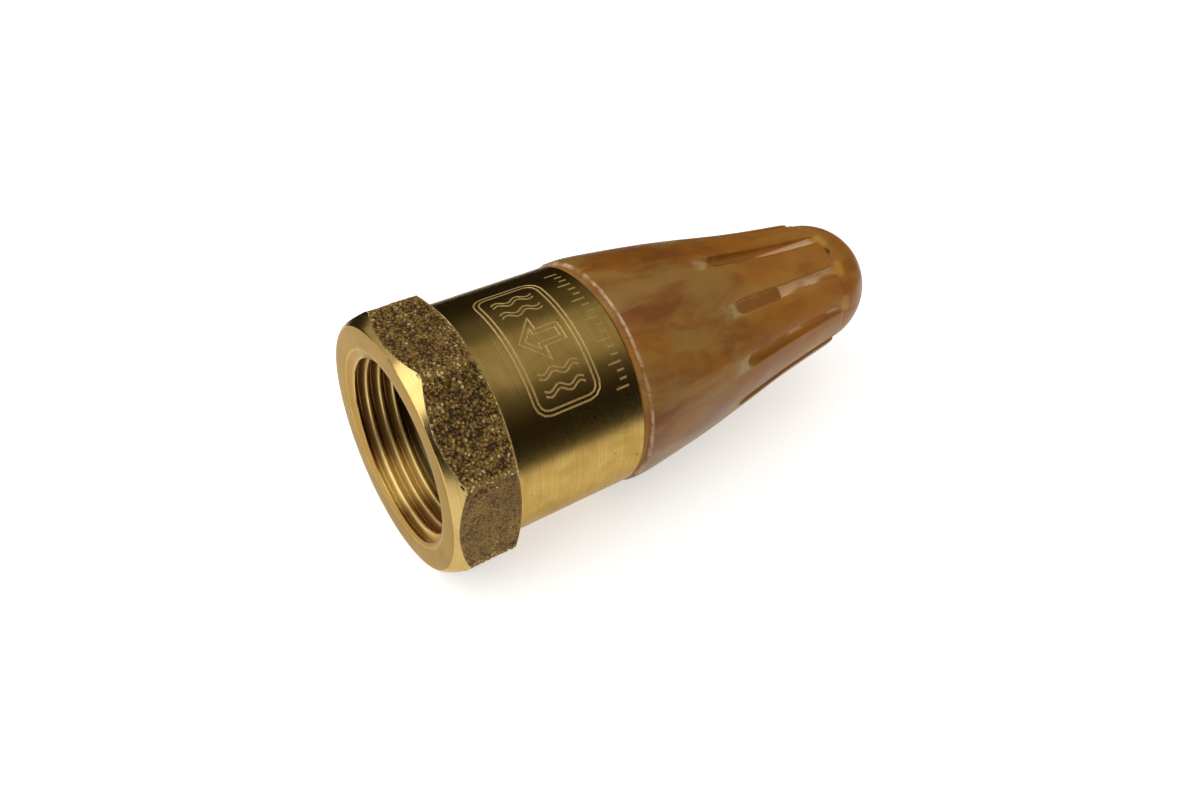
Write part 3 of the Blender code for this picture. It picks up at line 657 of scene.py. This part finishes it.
# %% [markdown]
# ## The sand-cast skin
# Each point of the flats is pressed in by up to a third of a millimetre. Cell noise gives packed grains with grooves
# between them, and smoother noise makes the grains uneven. How deep a point lies goes into an attribute for the
# material, and the lower flats get a painted shade on top of it. The same walk over the points writes the thread's
# painted groove shade and painted glint.

# %% Press in the grains


def cast_depth(point):
    """Depth of the cast skin in mm at a point given in mm."""
    near, _ = noise.voronoi(point / 0.62)
    groove = 1.0 - smooth(0.02, 0.36, near[1] - near[0])
    lump = noise.noise(point / 0.45) * 0.55 + noise.noise(point / 1.4) * 0.45
    return min(0.34, max(0.0, 0.09 + 0.17 * groove + 0.22 * lump))


pit_and_shade_values = [0.0] * len(body_mesh.vertices)
shade_and_glint_values = [0.0] * len(body_mesh.vertices)
pressed = 0
for vertex in body_mesh.vertices:
    y, z = -vertex.co.y / MM, (vertex.co.z - AXIS_Z) / MM
    station = (vertex.co.x - FACE_X) / MM
    radius = math.hypot(y, z)
    angle = math.atan2(y, z)
    if radius < MAJOR + 0.1 and station < SOCKET_END:
        # Painted shade behind each thread crest, weaker at the bottom of the bore, and a painted golden glint across
        # the lower wall.
        rise = (station / PITCH - (angle / (2 * math.pi)) % 1.0 - START_TURN) % 1.0
        glint_zone = smooth(-3.2, -2.84, angle) * (1.0 - smooth(-2.66, -2.2, angle))
        bottom = 1.0 - smooth(-0.98, -0.7, math.cos(angle))
        painted_groove_shade = smooth(0.04, 0.16, rise) * (1.0 - smooth(0.45, 0.82, rise)) * (1.0 - 0.6 * bottom)
        shade_and_glint_values[vertex.index] = mix(painted_groove_shade, -1.0, glint_zone)
    if radius < OCT_HALF - 0.06 or station > OCT_END - 0.02:
        continue
    edge = min(station - oct_front(angle), oct_rear(angle) - station)
    if abs(radius - oct_radius(angle)) > 0.02 or edge < -0.02:
        continue
    flat = round(angle / (2 * HALF_SIDE)) * 2 * HALF_SIDE
    lower = smooth(1.2, 1.3, angle) * (1 - smooth(1.85, 1.95, angle))
    ridge = smooth(0.33, HALF_SIDE, abs(angle - flat))
    strength = smooth(-0.3, 0.5, edge) * (1.0 - 0.55 * lower) * (1.0 - 0.35 * ridge)
    depth = cast_depth(Vector((station, y, z))) * strength
    inward = Vector((0.0, math.sin(flat), -math.cos(flat))).lerp(
        Vector((0.0, math.sin(angle), -math.cos(angle))), ridge)
    vertex.co += inward * depth * MM
    # Painted shade: on the lower flats the pit value is raised by 0.34, which darkens them.
    pit_and_shade_values[vertex.index] = min(1.0, depth / 0.26 + 0.34 * lower)
    pressed += 1
body_mesh.attributes.new("pit_depth_and_lower_shade", "FLOAT", "POINT").data.foreach_set("value", pit_and_shade_values)
body_mesh.attributes.new("painted_groove_shade_and_glint", "FLOAT", "POINT").data.foreach_set("value", shade_and_glint_values)


def soften(mesh, degrees):
    """Smooth shading that keeps edges sharper than an angle."""
    mesh.shade_smooth()
    mesh.set_sharp_from_angle(angle=math.radians(degrees))


soften(body_mesh, 32)
normals = [(0.0, 0.0, 0.0)] * len(body_mesh.loops)
for face in body_mesh.polygons:
    spots = [body_mesh.vertices[i].co for i in face.vertices]
    radii = [math.hypot(p.y, p.z - AXIS_Z) / MM for p in spots]
    if min(radii) > BARREL - 0.006 and max(radii) < BARREL + 0.006:
        for loop, p in zip(face.loop_indices, spots):
            normals[loop] = Vector((0.0, p.y, p.z - AXIS_Z)).normalized()
body_mesh.normals_split_custom_set(normals)
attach(brass_body, "body")
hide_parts("valve_body")
print("points pressed in:", pressed)

# %% [markdown]
# ## Amber plastic
# The strainer is moulded in a brown resin that never mixes evenly. Darker and more yellow clouds drift along it from
# the rim to the tip, the way the melt flowed, and the surface is satin with faint ripples. The lower side is painted
# paler, a painted reflection of the white floor. Where the slots run out, the sloped ramps carry a painted sheen in
# pale patches, and the flute floors are painted lighter than their shade. Light through the thin wall is painted as a
# faint glow on the inner side, so slots look brown instead of black.

# %% Shared group: place along the flutes
SLOTS = 11
SLOT_ZERO = math.radians(41.4)
flute_map, given, result = new_group(
    "Flute map",
    [("Vector", "NodeSocketVector", None)],
    [("Station", "NodeSocketFloat"), ("Aside", "NodeSocketFloat"), ("Radius", "NodeSocketFloat")],
)
parts = put(flute_map, "ShaderNodeSeparateXYZ", {0: given.outputs["Vector"]}).outputs
station = maths(flute_map, "MULTIPLY", maths(flute_map, "SUBTRACT", parts[0], FACE_X), 1000.0)
height = maths(flute_map, "MULTIPLY", maths(flute_map, "SUBTRACT", parts[2], AXIS_Z), 1000.0)
width = maths(flute_map, "MULTIPLY", parts[1], -1000.0)
angle = maths(flute_map, "ARCTAN2", width, height)
turn = maths(flute_map, "DIVIDE", maths(flute_map, "SUBTRACT", angle, SLOT_ZERO), 2 * math.pi / SLOTS)
nearest = maths(flute_map, "SUBTRACT", turn, maths(flute_map, "ROUND", turn))
radius = maths(flute_map, "SQRT", maths(flute_map, "ADD", maths(flute_map, "POWER", width, 2.0),
                                        maths(flute_map, "POWER", height, 2.0)))
aside = maths(flute_map, "MULTIPLY", maths(flute_map, "ABSOLUTE", nearest), 2 * math.pi / SLOTS)
flute_map.links.new(station, result.inputs["Station"])
flute_map.links.new(maths(flute_map, "MULTIPLY", aside, radius), result.inputs["Aside"])
flute_map.links.new(radius, result.inputs["Radius"])
print("group:", flute_map.name)

# %% Material: amber plastic
DOT_STATION, DOT_RADIUS, DOT_ANGLE = 89.2, 12.04, 22.0
amber, tree, shader = new_finish("amber_plastic", (0.3, 0.13, 0.04))
where = put(tree, "ShaderNodeTexCoord").outputs["Object"]
stretched = put(tree, "ShaderNodeMapping", {"Vector": where, "Scale": (0.28, 1.0, 1.0)}).outputs[0]
streaks = use(tree, clouds, {"Vector": stretched, "Size in mm": 3.6, "Softness": 0.2})
blots = use(tree, clouds, {"Vector": where, "Size in mm": 11.0, "Softness": 0.14})
ochre = use(tree, clouds, {"Vector": stretched, "Size in mm": 8.0, "Softness": 0.1})
tint = blend_colours(tree, streaks.outputs["Mask"], (0.34, 0.122, 0.011), (0.26, 0.083, 0.006))
tint = blend_colours(tree, maths(tree, "MULTIPLY", blots.outputs["Mask"], 0.72), tint, (0.16, 0.046, 0.005))
tint = blend_colours(tree, maths(tree, "MULTIPLY", ochre.outputs["Mask"], 0.6), tint, (0.35, 0.21, 0.045))
spot = use(tree, flute_map, {"Vector": where}).outputs
level = put(tree, "ShaderNodeSeparateXYZ", {0: where}).outputs[2]
# Painted reflection: the lower side is painted paler and more yellow, where it would reflect the white floor.
floor_reflection = band(tree, level, 0.026, 0.012)
tint = blend_colours(tree, maths(tree, "MULTIPLY", floor_reflection, 0.55), tint, (0.40, 0.27, 0.12))
toward_tip = band(tree, spot["Station"], 46.0, 78.0)
tint = blend_colours(tree, maths(tree, "MULTIPLY", toward_tip, 0.3), tint, (0.58, 0.215, 0.014))
narrow = band(tree, spot["Aside"], 1.0, 1.9, 1.0, 0.0)
ramp = maths(tree, "MULTIPLY", band(tree, spot["Station"], 55.6, 58.2), band(tree, spot["Station"], 61.5, 63.9, 1.0, 0.0))
floor_run = maths(tree, "MULTIPLY", band(tree, spot["Station"], 66.4, 74.9), band(tree, spot["Station"], 86.4, 88.9, 1.0, 0.0))
sunk = band(tree, spot["Radius"], 12.6, 12.9, 1.0, 0.0)
flute_floor_light = maths(tree, "MULTIPLY", maths(tree, "MULTIPLY", floor_run, sunk), narrow)
ramp_sheen = maths(tree, "MULTIPLY", ramp, narrow)
patch_noise = band(tree, grain(tree, where, 300.0, 3.0, 0.6), 0.40, 0.60)
drawn = put(tree, "ShaderNodeMapping", {"Vector": where, "Scale": (0.22, 1.0, 1.0)}).outputs[0]
thin = band(tree, grain(tree, drawn, 700.0, 2.0, 0.5), 0.36, 0.6)
# Painted sheen: pale patches on the sloped ramps where the flutes begin.
tint = blend_colours(tree, maths(tree, "MULTIPLY", maths(tree, "MULTIPLY", ramp_sheen, patch_noise), 0.8), tint, (0.44, 0.30, 0.13))
# Painted light: the flute floors are painted pale, lighter than their shade would be.
tint = blend_colours(tree, maths(tree, "MULTIPLY", maths(tree, "MULTIPLY", flute_floor_light, thin), 0.75), tint, (0.80, 0.58, 0.36))
outlet_run = maths(tree, "MULTIPLY", band(tree, spot["Station"], 87.2, 88.6), band(tree, spot["Station"], 89.9, 91.4, 1.0, 0.0))
tint = blend_colours(tree, maths(tree, "MULTIPLY", maths(tree, "MULTIPLY", outlet_run, narrow), 0.55), tint,
                     (0.62, 0.33, 0.05))
speck_place = place(DOT_STATION, DOT_RADIUS, math.radians(DOT_ANGLE))
away = put(tree, "ShaderNodeVectorMath", {0: where, 1: tuple(speck_place)}, operation="DISTANCE")
speck = band(tree, away.outputs["Value"], 0.45 * MM, 1.0 * MM, 1.0, 0.0)
tint = blend_colours(tree, maths(tree, "MULTIPLY", speck, 0.85), tint, (0.055, 0.02, 0.008))
pale = put(tree, "ShaderNodeAttribute", attribute_name="flash").outputs["Fac"]
seam = maths(tree, "MULTIPLY", band(tree, spot["Station"], 36.4, 36.6),
             band(tree, spot["Station"], 36.8, 37.05, 1.0, 0.0))
seam = maths(tree, "MULTIPLY", seam, band(tree, spot["Radius"], 19.5, 19.8))
torn = band(tree, grain(tree, where, 520.0, 3.0, 0.6), 0.40, 0.60)
pale = maths(tree, "MAXIMUM", maths(tree, "MULTIPLY", seam, torn), maths(tree, "MULTIPLY", pale, 0.5))
tint = blend_colours(tree, maths(tree, "MULTIPLY", pale, 0.75), tint, (0.66, 0.50, 0.36))
tree.links.new(tint, shader.inputs["Base Color"])
# Painted glow: the inner side and the cut flute walls emit a faint brown light, in place of light through the thin
# wall.
cone = maths(tree, "ADD", spot["Radius"], maths(tree, "MULTIPLY", spot["Station"], 0.159))
painted_inner_glow = band(tree, cone, 24.5, 26.5, 1.0, 0.0)
tree.links.new(blend_colours(tree, painted_inner_glow, (0.0, 0.0, 0.0), (0.10, 0.052, 0.015)),
               shader.inputs["Emission Color"])
shader.inputs["Emission Strength"].default_value = 1.0
ripple = grain(tree, stretched, 260.0, 3.0, 0.5)
pebbles = grain(tree, where, 1500.0, 2.0, 0.5)
tree.links.new(band(tree, ripple, 0.3, 0.7, 0.32, 0.48), shader.inputs["Roughness"])
shader.inputs["IOR"].default_value = 1.45
shader.inputs["Specular IOR Level"].default_value = 0.35
relief = maths(tree, "ADD", ripple, maths(tree, "MULTIPLY", pebbles, 0.12))
bump = put(tree, "ShaderNodeBump", {"Strength": 1.0, "Distance": 0.09 * MM, "Height": relief})
tree.links.new(bump.outputs[0], shader.inputs["Normal"])
print("material:", amber.name)

# %% [markdown]
# ## The strainer
# A moulded cup: a skirt that snaps over the spigot, a tapering shell and a domed tip. It is turned
# from its outline. The mould closed round its sides with steel bars that made the flutes, so here a
# ring of bars is cut out of the shell, each with rounded lips where it leaves the surface.

# %% Strainer outline
SHELL = ((37.6, 20.3), (39.0, 20.3), (41.4, 20.1), (45.4, 19.64), (49.4, 19.14), (53.4, 18.58), (57.8, 17.88),
         (62.2, 17.1), (66.9, 16.25), (71.4, 15.45), (76.4, 14.65), (82.4, 13.8), (87.9, 13.07))
INNER = ((46.4, 16.9), (50.4, 16.8), (57.8, 15.7), (62.2, 14.85), (66.9, 13.95), (71.4, 13.1), (73.8, 12.55),
         (75.6, 10.5))
TIP_RADIUS, TIP_CENTRE, CORE = 12.05, 89.8, 9.9


def curve_through(points, gap):
    """A smooth line through points, with a point about every gap."""
    line = []
    for i in range(len(points) - 1):
        p0, p1 = Vector(points[max(0, i - 1)]), Vector(points[i])
        p2, p3 = Vector(points[i + 1]), Vector(points[min(len(points) - 1, i + 2)])
        count = max(1, round((p2 - p1).length / gap))
        for k in range(count):
            t = k / count
            line.append(0.5 * ((2 * p1) + (p2 - p0) * t + (2 * p0 - 5 * p1 + 4 * p2 - p3) * t * t
                               + (3 * p1 - p0 - 3 * p2 + p3) * t ** 3))
    line.append(Vector(points[-1]))
    return line


def shell_radius(station):
    if station >= SHELL[-1][0]:
        return SHELL[-1][1]
    for (s0, r0), (s1, r1) in zip(SHELL, SHELL[1:]):
        if s0 <= station <= s1:
            return mix(r0, r1, (station - s0) / (s1 - s0))
    return SHELL[0][1]


def dome_line(radius, first, count):
    line = []
    for k in range(count):
        angle = math.radians(mix(first, 90, k / count))
        line.append(Vector((TIP_CENTRE + radius * math.sin(angle), radius * math.cos(angle))))
    return line


outside = [Vector(p) for p in ((35.9, 18.0), (35.9, 18.5), (35.9, 19.0), (36.0, 19.1), (36.5, 19.12), (36.65, 19.2),
                               (36.7, 19.9), (36.85, 20.15), (37.1, 20.28))]
outside += curve_through(SHELL, 0.9)
outside += [Vector(p) for p in ((88.15, 13.0), (88.3, 12.86), (88.4, 12.6), (88.43, 12.1))]
outside += dome_line(TIP_RADIUS, -5.0, 20)
inside = [Vector(p) for p in ((38.85, 18.0), (39.45, 17.45), (40.1, 17.45), (40.25, 18.0), (45.7, 18.0),
                              (45.75, 17.0))]
inside += curve_through(INNER, 1.2)
inside += dome_line(CORE, 0.0, 16)
STRAINER_COLUMNS = 24 * SLOTS
shape = bmesh.new()
outer_set = [turn_ring(shape, STRAINER_COLUMNS, lambda a, p=p: tuple(p)) for p in outside]
inner_set = [turn_ring(shape, STRAINER_COLUMNS, lambda a, p=p: tuple(p)) for p in inside]
for rows in (outer_set, inner_set):
    for one, two in zip(rows, rows[1:]):
        join_rings(shape, one, two)
join_rings(shape, outer_set[0], inner_set[0])
for rows, radius in ((outer_set, TIP_RADIUS), (inner_set, CORE)):
    tip = shape.verts.new(place(TIP_CENTRE + radius, 0.0, 0.0))
    for k in range(STRAINER_COLUMNS):
        shape.faces.new((rows[-1][k], rows[-1][(k + 1) % STRAINER_COLUMNS], tip))
bmesh.ops.recalc_face_normals(shape, faces=shape.faces)
strainer_mesh = bpy.data.meshes.new("amber_strainer")
shape.to_mesh(strainer_mesh)
shape.free()
strainer_mesh.materials.append(amber)
amber_strainer = bpy.data.objects.new("amber_strainer", strainer_mesh)
bpy.context.scene.collection.objects.link(amber_strainer)
print("strainer faces before the flutes:", len(strainer_mesh.polygons))

# %% Flutes with rounded lips
FLOOR, FLUTE_START, FLUTE_RAMP, FLUTE_END = 12.3, 63.2, 4.6, 91.4
WIDE, NARROW = 2.6, 1.6


def flute_plan(grow):
    """Outline of one flute at its floor: a round nose and straight sides, grown by a margin."""
    points = []
    half = WIDE / 2 + grow
    for k in range(13):
        angle = math.pi / 2 + math.pi * k / 12
        points.append((FLUTE_START + WIDE / 2 + half * math.cos(angle), half * math.sin(angle)))
    low = [(mix(FLUTE_START + WIDE / 2, FLUTE_END, k / 16), -(mix(WIDE, NARROW, k / 16) / 2 + grow)) for k in range(1, 17)]
    return points + low + [(s, -y) for s, y in reversed(low)]


def lean(station):
    """How far the wall leans toward the outlet for each mm of height: only the nose does."""
    return FLUTE_RAMP / 7.2 * (1.0 - smooth(FLUTE_START + 1.2, FLUTE_START + 2.4, station))


levels = [(-0.45, lambda s: FLOOR), (-0.18, lambda s: FLOOR + 0.12), (0.0, lambda s: FLOOR + 0.4),
          (0.0, lambda s: max(FLOOR + 0.45, shell_radius(s) - 0.26)),
          (0.07, lambda s: max(FLOOR + 0.5, shell_radius(s) - 0.09)),
          (0.28, lambda s: max(FLOOR + 0.6, shell_radius(s) + 0.05)),
          (0.5, lambda s: max(FLOOR + 1.0, shell_radius(s) + 0.5))]
shape = bmesh.new()
for n in range(SLOTS):
    middle = SLOT_ZERO + 2 * math.pi * n / SLOTS
    out = Vector((0.0, -math.sin(middle), math.cos(middle)))
    aside = Vector((0.0, -math.cos(middle), -math.sin(middle)))
    rings = []
    for grow, level in levels:
        ring = []
        for s, y in flute_plan(grow):
            rise = level(s)
            shifted = s - lean(s) * (rise - FLOOR)
            rise = level(shifted)
            shifted = s - lean(s) * (rise - FLOOR)
            point = Vector((FACE_X + shifted * MM, 0.0, AXIS_Z)) + (out * rise + aside * y) * MM
            ring.append(shape.verts.new(point))
        rings.append(ring)
    for one, two in zip(rings, rings[1:]):
        join_rings(shape, one, two)
    shape.faces.new(rings[0])
    shape.faces.new(rings[-1])
bmesh.ops.recalc_face_normals(shape, faces=shape.faces)
flute_mesh = bpy.data.meshes.new("flute_cutter")
shape.to_mesh(flute_mesh)
shape.free()
flute_cutter = bpy.data.objects.new("flute_cutter", flute_mesh)
bpy.context.scene.collection.objects.link(flute_cutter)
strainer_mesh = cut(amber_strainer, flute_cutter)
print("strainer faces with flutes:", len(strainer_mesh.polygons))

# %% [markdown]
# ## Flash and ripples
# Where the mould halves met at the rim, a ragged sliver of resin is left, and it has gone white. The
# long wall isn't quite true either. Both are small moves of the points, and the rim writes a mask
# that the material turns pale.

# %% Uneven rim and wall
flash_values = [0.0] * len(strainer_mesh.vertices)
for vertex in strainer_mesh.vertices:
    y, z = -vertex.co.y / MM, (vertex.co.z - AXIS_Z) / MM
    station = (vertex.co.x - FACE_X) / MM
    radius = math.hypot(y, z)
    if radius < 11.0 or station < 36.6:
        continue
    angle = math.atan2(y, z)
    out = Vector((0.0, -math.sin(angle), math.cos(angle)))
    ring = Vector((math.cos(angle), math.sin(angle), 0.0)) * 20.3
    if station < 37.0 and radius > 19.8:
        ragged = noise.noise(ring / 0.5) * 0.6 + noise.noise(ring / 2.2) * 0.7
        height = smooth(-0.45, 0.6, ragged)
        vertex.co += (out * 0.10 - Vector((0.12, 0.0, 0.0))) * height * MM
        flash_values[vertex.index] = smooth(0.25, 0.8, height)
    elif radius > shell_radius(station) - 0.25:
        wave = noise.noise(Vector((station / 14.0, y / 5.0, z / 5.0)))
        fine = noise.noise(Vector((station / 4.0, y / 2.2, z / 2.2)))
        vertex.co -= out * (0.06 + 0.05 * wave + 0.02 * fine) * MM
strainer_mesh.attributes.new("flash", "FLOAT", "POINT").data.foreach_set("value", flash_values)
soften(strainer_mesh, 38)
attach(amber_strainer, "body")
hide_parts("strainer")
print("rim points with flash:", sum(1 for v in flash_values if v > 0.5))

# %% [markdown]
# ## The metal inside
# Through the outlet you see the guide spider, the stem and the back of the poppet. They keep their
# solid shapes. Small turned parts look right with closer rings and a brighter brass, and the steel
# parts take the same groups in grey.

# %% Finishes for the inner parts
inner_brass = turned_brass("bright_turned_brass", (0.68, 0.49, 0.21), (0.50, 0.33, 0.12), 0.22, 0.004, 4.0, 0.05)
steel = turned_brass("turned_steel", (0.56, 0.55, 0.53), (0.42, 0.41, 0.39), 0.25, 0.003, 5.0, 0.02,
                     slant=(0.96, 0.96, 0.97, 1.0))


def plain_resin(name, light, dark, rough, grain_mm, depth):
    """A soft or fibrous material: two tones in clouds and a fine bumpy skin."""
    material, tree, shader = new_finish(name, light)
    where = put(tree, "ShaderNodeTexCoord").outputs["Object"]
    haze = use(tree, clouds, {"Vector": where, "Size in mm": 3.0, "Softness": 0.25})
    tree.links.new(blend_colours(tree, haze.outputs["Mask"], light, dark), shader.inputs["Base Color"])
    skin = grain(tree, where, 1000.0 / grain_mm, 3.0, 0.6)
    tree.links.new(band(tree, skin, 0.3, 0.7, rough - 0.08, rough + 0.08), shader.inputs["Roughness"])
    bump = put(tree, "ShaderNodeBump", {"Strength": 1.0, "Distance": depth * MM, "Height": skin})
    tree.links.new(bump.outputs[0], shader.inputs["Normal"])
    return material


rubber = plain_resin("seal_rubber", (0.022, 0.022, 0.022), (0.035, 0.034, 0.032), 0.6, 0.5, 0.02)
fibre = plain_resin("gasket_fibre", (0.32, 0.075, 0.045), (0.22, 0.05, 0.03), 0.8, 0.25, 0.05)
acetal = plain_resin("acetal_liner", (0.76, 0.74, 0.66), (0.66, 0.63, 0.54), 0.38, 0.8, 0.01)
FINISHES = {
    "seat_bush": inner_brass, "guide_spider": inner_brass, "poppet_disc": inner_brass,
    "poppet_stem": steel, "seal_washer": steel, "lock_washer": steel, "stem_nut": steel,
    "spider_ring": steel, "poppet_seal": rubber, "body_gasket": fibre, "guide_bushing": acetal,
}
for name, finish in FINISHES.items():
    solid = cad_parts[name]
    if not solid.material_slots:
        solid.data.materials.append(finish)
    for place_in in solid.material_slots:
        place_in.material = finish
print("finished nodes:", len(FINISHES))

# %% [markdown]
# ## The closing spring
# A round wire in a coil, its end turns closed and pressed flat. The solid has a coarse wire, so a finer one stands in
# for it. One end rests on the spider and the other on the poppet.

# %% Spring wire
WIRE, COIL, TURNS, CLOSED = 0.45, 6.2, 4.75, 0.75
spring_low, spring_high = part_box("valve_spring")
first_coil = (spring_low[0] - FACE_X) / MM + WIRE
last_coil = (spring_high[0] - FACE_X) / MM - WIRE


def coil_station(turn):
    rise = 2 * WIRE * CLOSED
    if turn < CLOSED:
        return first_coil + rise * turn / CLOSED
    if turn > TURNS - CLOSED:
        return last_coil - rise * (TURNS - turn) / CLOSED
    return mix(first_coil + rise, last_coil - rise, (turn - CLOSED) / (TURNS - 2 * CLOSED))


shape = bmesh.new()
rings = []
for i in range(round(TURNS * 48) + 1):
    turn = i / 48
    ring = []
    for k in range(14):
        side = 2 * math.pi * k / 14
        station = coil_station(turn) + WIRE * math.sin(side)
        ring.append(shape.verts.new(place(station, COIL + WIRE * math.cos(side), math.pi - 2 * math.pi * turn)))
    rings.append(ring)
for one, two in zip(rings, rings[1:]):
    join_rings(shape, one, two)
shape.faces.new(rings[0])
shape.faces.new(rings[-1])
bmesh.ops.recalc_face_normals(shape, faces=shape.faces)
coil_mesh = bpy.data.meshes.new("closing_spring")
shape.to_mesh(coil_mesh)
shape.free()
soften(coil_mesh, 50)
coil_mesh.materials.append(steel)
closing_spring = bpy.data.objects.new("closing_spring", coil_mesh)
bpy.context.scene.collection.objects.link(closing_spring)
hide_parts("valve_spring")
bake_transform(closing_spring)
print(f"spring from {first_coil:.2f} to {last_coil:.2f} mm")

# %% [markdown]
# ## Floor, cards and light
# The valve lies on a plain white floor under a broad soft lamp. Polished metal shows its
# surroundings, so dark cards stand where the photograph's room was dark: low down all round, and on
# the floor in front. The camera never sees the cards.

# %% White floor
white, tree, shader = new_finish("white_floor", (0.9, 0.9, 0.9))
where = put(tree, "ShaderNodeTexCoord").outputs["Object"]
paper = grain(tree, where, 30.0, 2.0, 0.5)
tree.links.new(blend_colours(tree, paper, (0.88, 0.88, 0.88), (0.92, 0.92, 0.92)), shader.inputs["Base Color"])
shader.inputs["Roughness"].default_value = 0.9
shader.inputs["Specular IOR Level"].default_value = 0.0
shader.inputs["Emission Color"].default_value = (1.0, 1.0, 1.0, 1.0)
rays = put(tree, "ShaderNodeLightPath").outputs
seen = maths(tree, "MAXIMUM", rays["Is Camera Ray"], maths(tree, "MAXIMUM", rays["Is Glossy Ray"],
                                                          rays["Is Transmission Ray"]))
tree.links.new(maths(tree, "MULTIPLY", seen, 0.5), shader.inputs["Emission Strength"])


def plate(name, corners, material):
    """A flat or folded sheet from lists of corners."""
    mesh = bpy.data.meshes.new(name)
    points, faces = [], []
    for face in corners:
        faces.append(list(range(len(points), len(points) + len(face))))
        points += face
    mesh.from_pydata(points, [], faces)
    mesh.materials.append(material)
    sheet = bpy.data.objects.new(name, mesh)
    bpy.context.scene.collection.objects.link(sheet)
    sheet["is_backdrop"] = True
    return sheet


floor = plate("floor", [[(-12, -12, 0), (12, -12, 0), (12, 12, 0), (-12, 12, 0)]], white)

# %% Dark cards and room
card_finish, tree, shader = new_finish("dark_card", (0.03, 0.03, 0.03))
tree.nodes.remove(shader)
place_z = put(tree, "ShaderNodeSeparateXYZ", {0: put(tree, "ShaderNodeTexCoord").outputs["Object"]}).outputs[2]
shade = band(tree, place_z, 0.9, 2.4, 0.02, 0.16)
glow = put(tree, "ShaderNodeEmission", {"Color": (1.0, 0.93, 0.82, 1.0), "Strength": shade})
tree.links.new(glow.outputs[0], tree.nodes["Material Output"].inputs["Surface"])
near, far, left, wide, out = -0.088, 0.1, -0.25, 0.15, 2.5
cards = plate("dark_cards", [
    [(-out, -out, 0.0004), (out, -out, 0.0004), (out, near, 0.0004), (-out, near, 0.0004)],
    [(-out, far, 0.0004), (out, far, 0.0004), (out, out, 0.0004), (-out, out, 0.0004)],
    [(-out, near, 0.0004), (left, near, 0.0004), (left, far, 0.0004), (-out, far, 0.0004)],
    [(wide, near, 0.0004), (out, near, 0.0004), (out, far, 0.0004), (wide, far, 0.0004)],
], card_finish)
wall, top = 2.4, 2.4
sides = []
for k in range(24):
    a, b = math.radians(15 * k), math.radians(15 * (k + 1))
    sides.append([(wall * math.cos(a), wall * math.sin(a), -0.01), (wall * math.cos(b), wall * math.sin(b), -0.01),
                  (wall * math.cos(b), wall * math.sin(b), top), (wall * math.cos(a), wall * math.sin(a), top)])
sides.append([(wall * math.cos(math.radians(15 * k)), wall * math.sin(math.radians(15 * k)), top) for k in range(24)])
room = plate("dark_room", sides, card_finish)
for hidden in (cards, room):
    hidden.visible_camera = False
    hidden.visible_diffuse = False
    hidden.visible_shadow = False
    hidden.visible_transmission = False
    hidden.visible_volume_scatter = False

# %% Lamps and sky


def soft_lamp(name, direction, distance, size, glow_level, colour=(1.0, 0.96, 0.88)):
    """A square soft lamp that faces the valve; its glow level is what a mirror would show."""
    data = bpy.data.lights.new(name, "AREA")
    data.shape = "SQUARE"
    data.size = size
    data.energy = glow_level * math.pi * size * size
    data.color = colour
    lamp = bpy.data.objects.new(name, data)
    bpy.context.scene.collection.objects.link(lamp)
    aim = Vector(direction).normalized()
    lamp.matrix_world = Matrix.Translation(aim * distance) @ aim.to_track_quat("Z", "Y").to_matrix().to_4x4()
    lamp.visible_camera = False
    return lamp


soft_lamp("overhead_softbox", (0.42, -0.10, 0.90), 1.0, 0.85, 0.38, (1.0, 0.99, 0.97))
soft_lamp("side_softbox", (-0.92, 0.23, 0.30), 0.9, 0.5, 2.6, (1.0, 0.99, 0.97))
soft_lamp("bore_softbox", (-0.53, -0.10, 0.84), 0.9, 0.66, 1.5, (1.0, 0.99, 0.97))
soft_lamp("back_softbox", (-0.50, 0.62, 0.60), 0.9, 0.5, 0.5, (1.0, 0.99, 0.97))
soft_lamp("low_back_card", (-0.62, 0.76, 0.26), 0.9, 0.46, 0.6)
soft_lamp("front_fill", (-0.59, -0.56, 0.59), 1.0, 0.6, 0.35)
world = bpy.data.worlds.new("studio")
bpy.context.scene.world = world
world.use_nodes = True
tree = world.node_tree
tree.nodes.clear()
rays = put(tree, "ShaderNodeLightPath").outputs
seen = maths(tree, "MAXIMUM", rays["Is Camera Ray"], maths(tree, "MAXIMUM", rays["Is Glossy Ray"],
                                                          rays["Is Transmission Ray"]))
soft = put(tree, "ShaderNodeBackground", {"Color": (1.0, 0.98, 0.94, 1.0), "Strength": 0.45})
backdrop = put(tree, "ShaderNodeBackground", {"Color": (1.0, 1.0, 1.0, 1.0), "Strength": 1.0})
both = put(tree, "ShaderNodeMixShader", {0: seen, 1: soft.outputs[0], 2: backdrop.outputs[0]})
put(tree, "ShaderNodeOutputWorld", {"Surface": both.outputs[0]})
bpy.context.scene.view_settings.view_transform = "Standard"

# %% Print the dressed size
low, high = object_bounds()
print("dressed size in mm:", [round((b - a) * 1000, 2) for a, b in zip(low, high)])
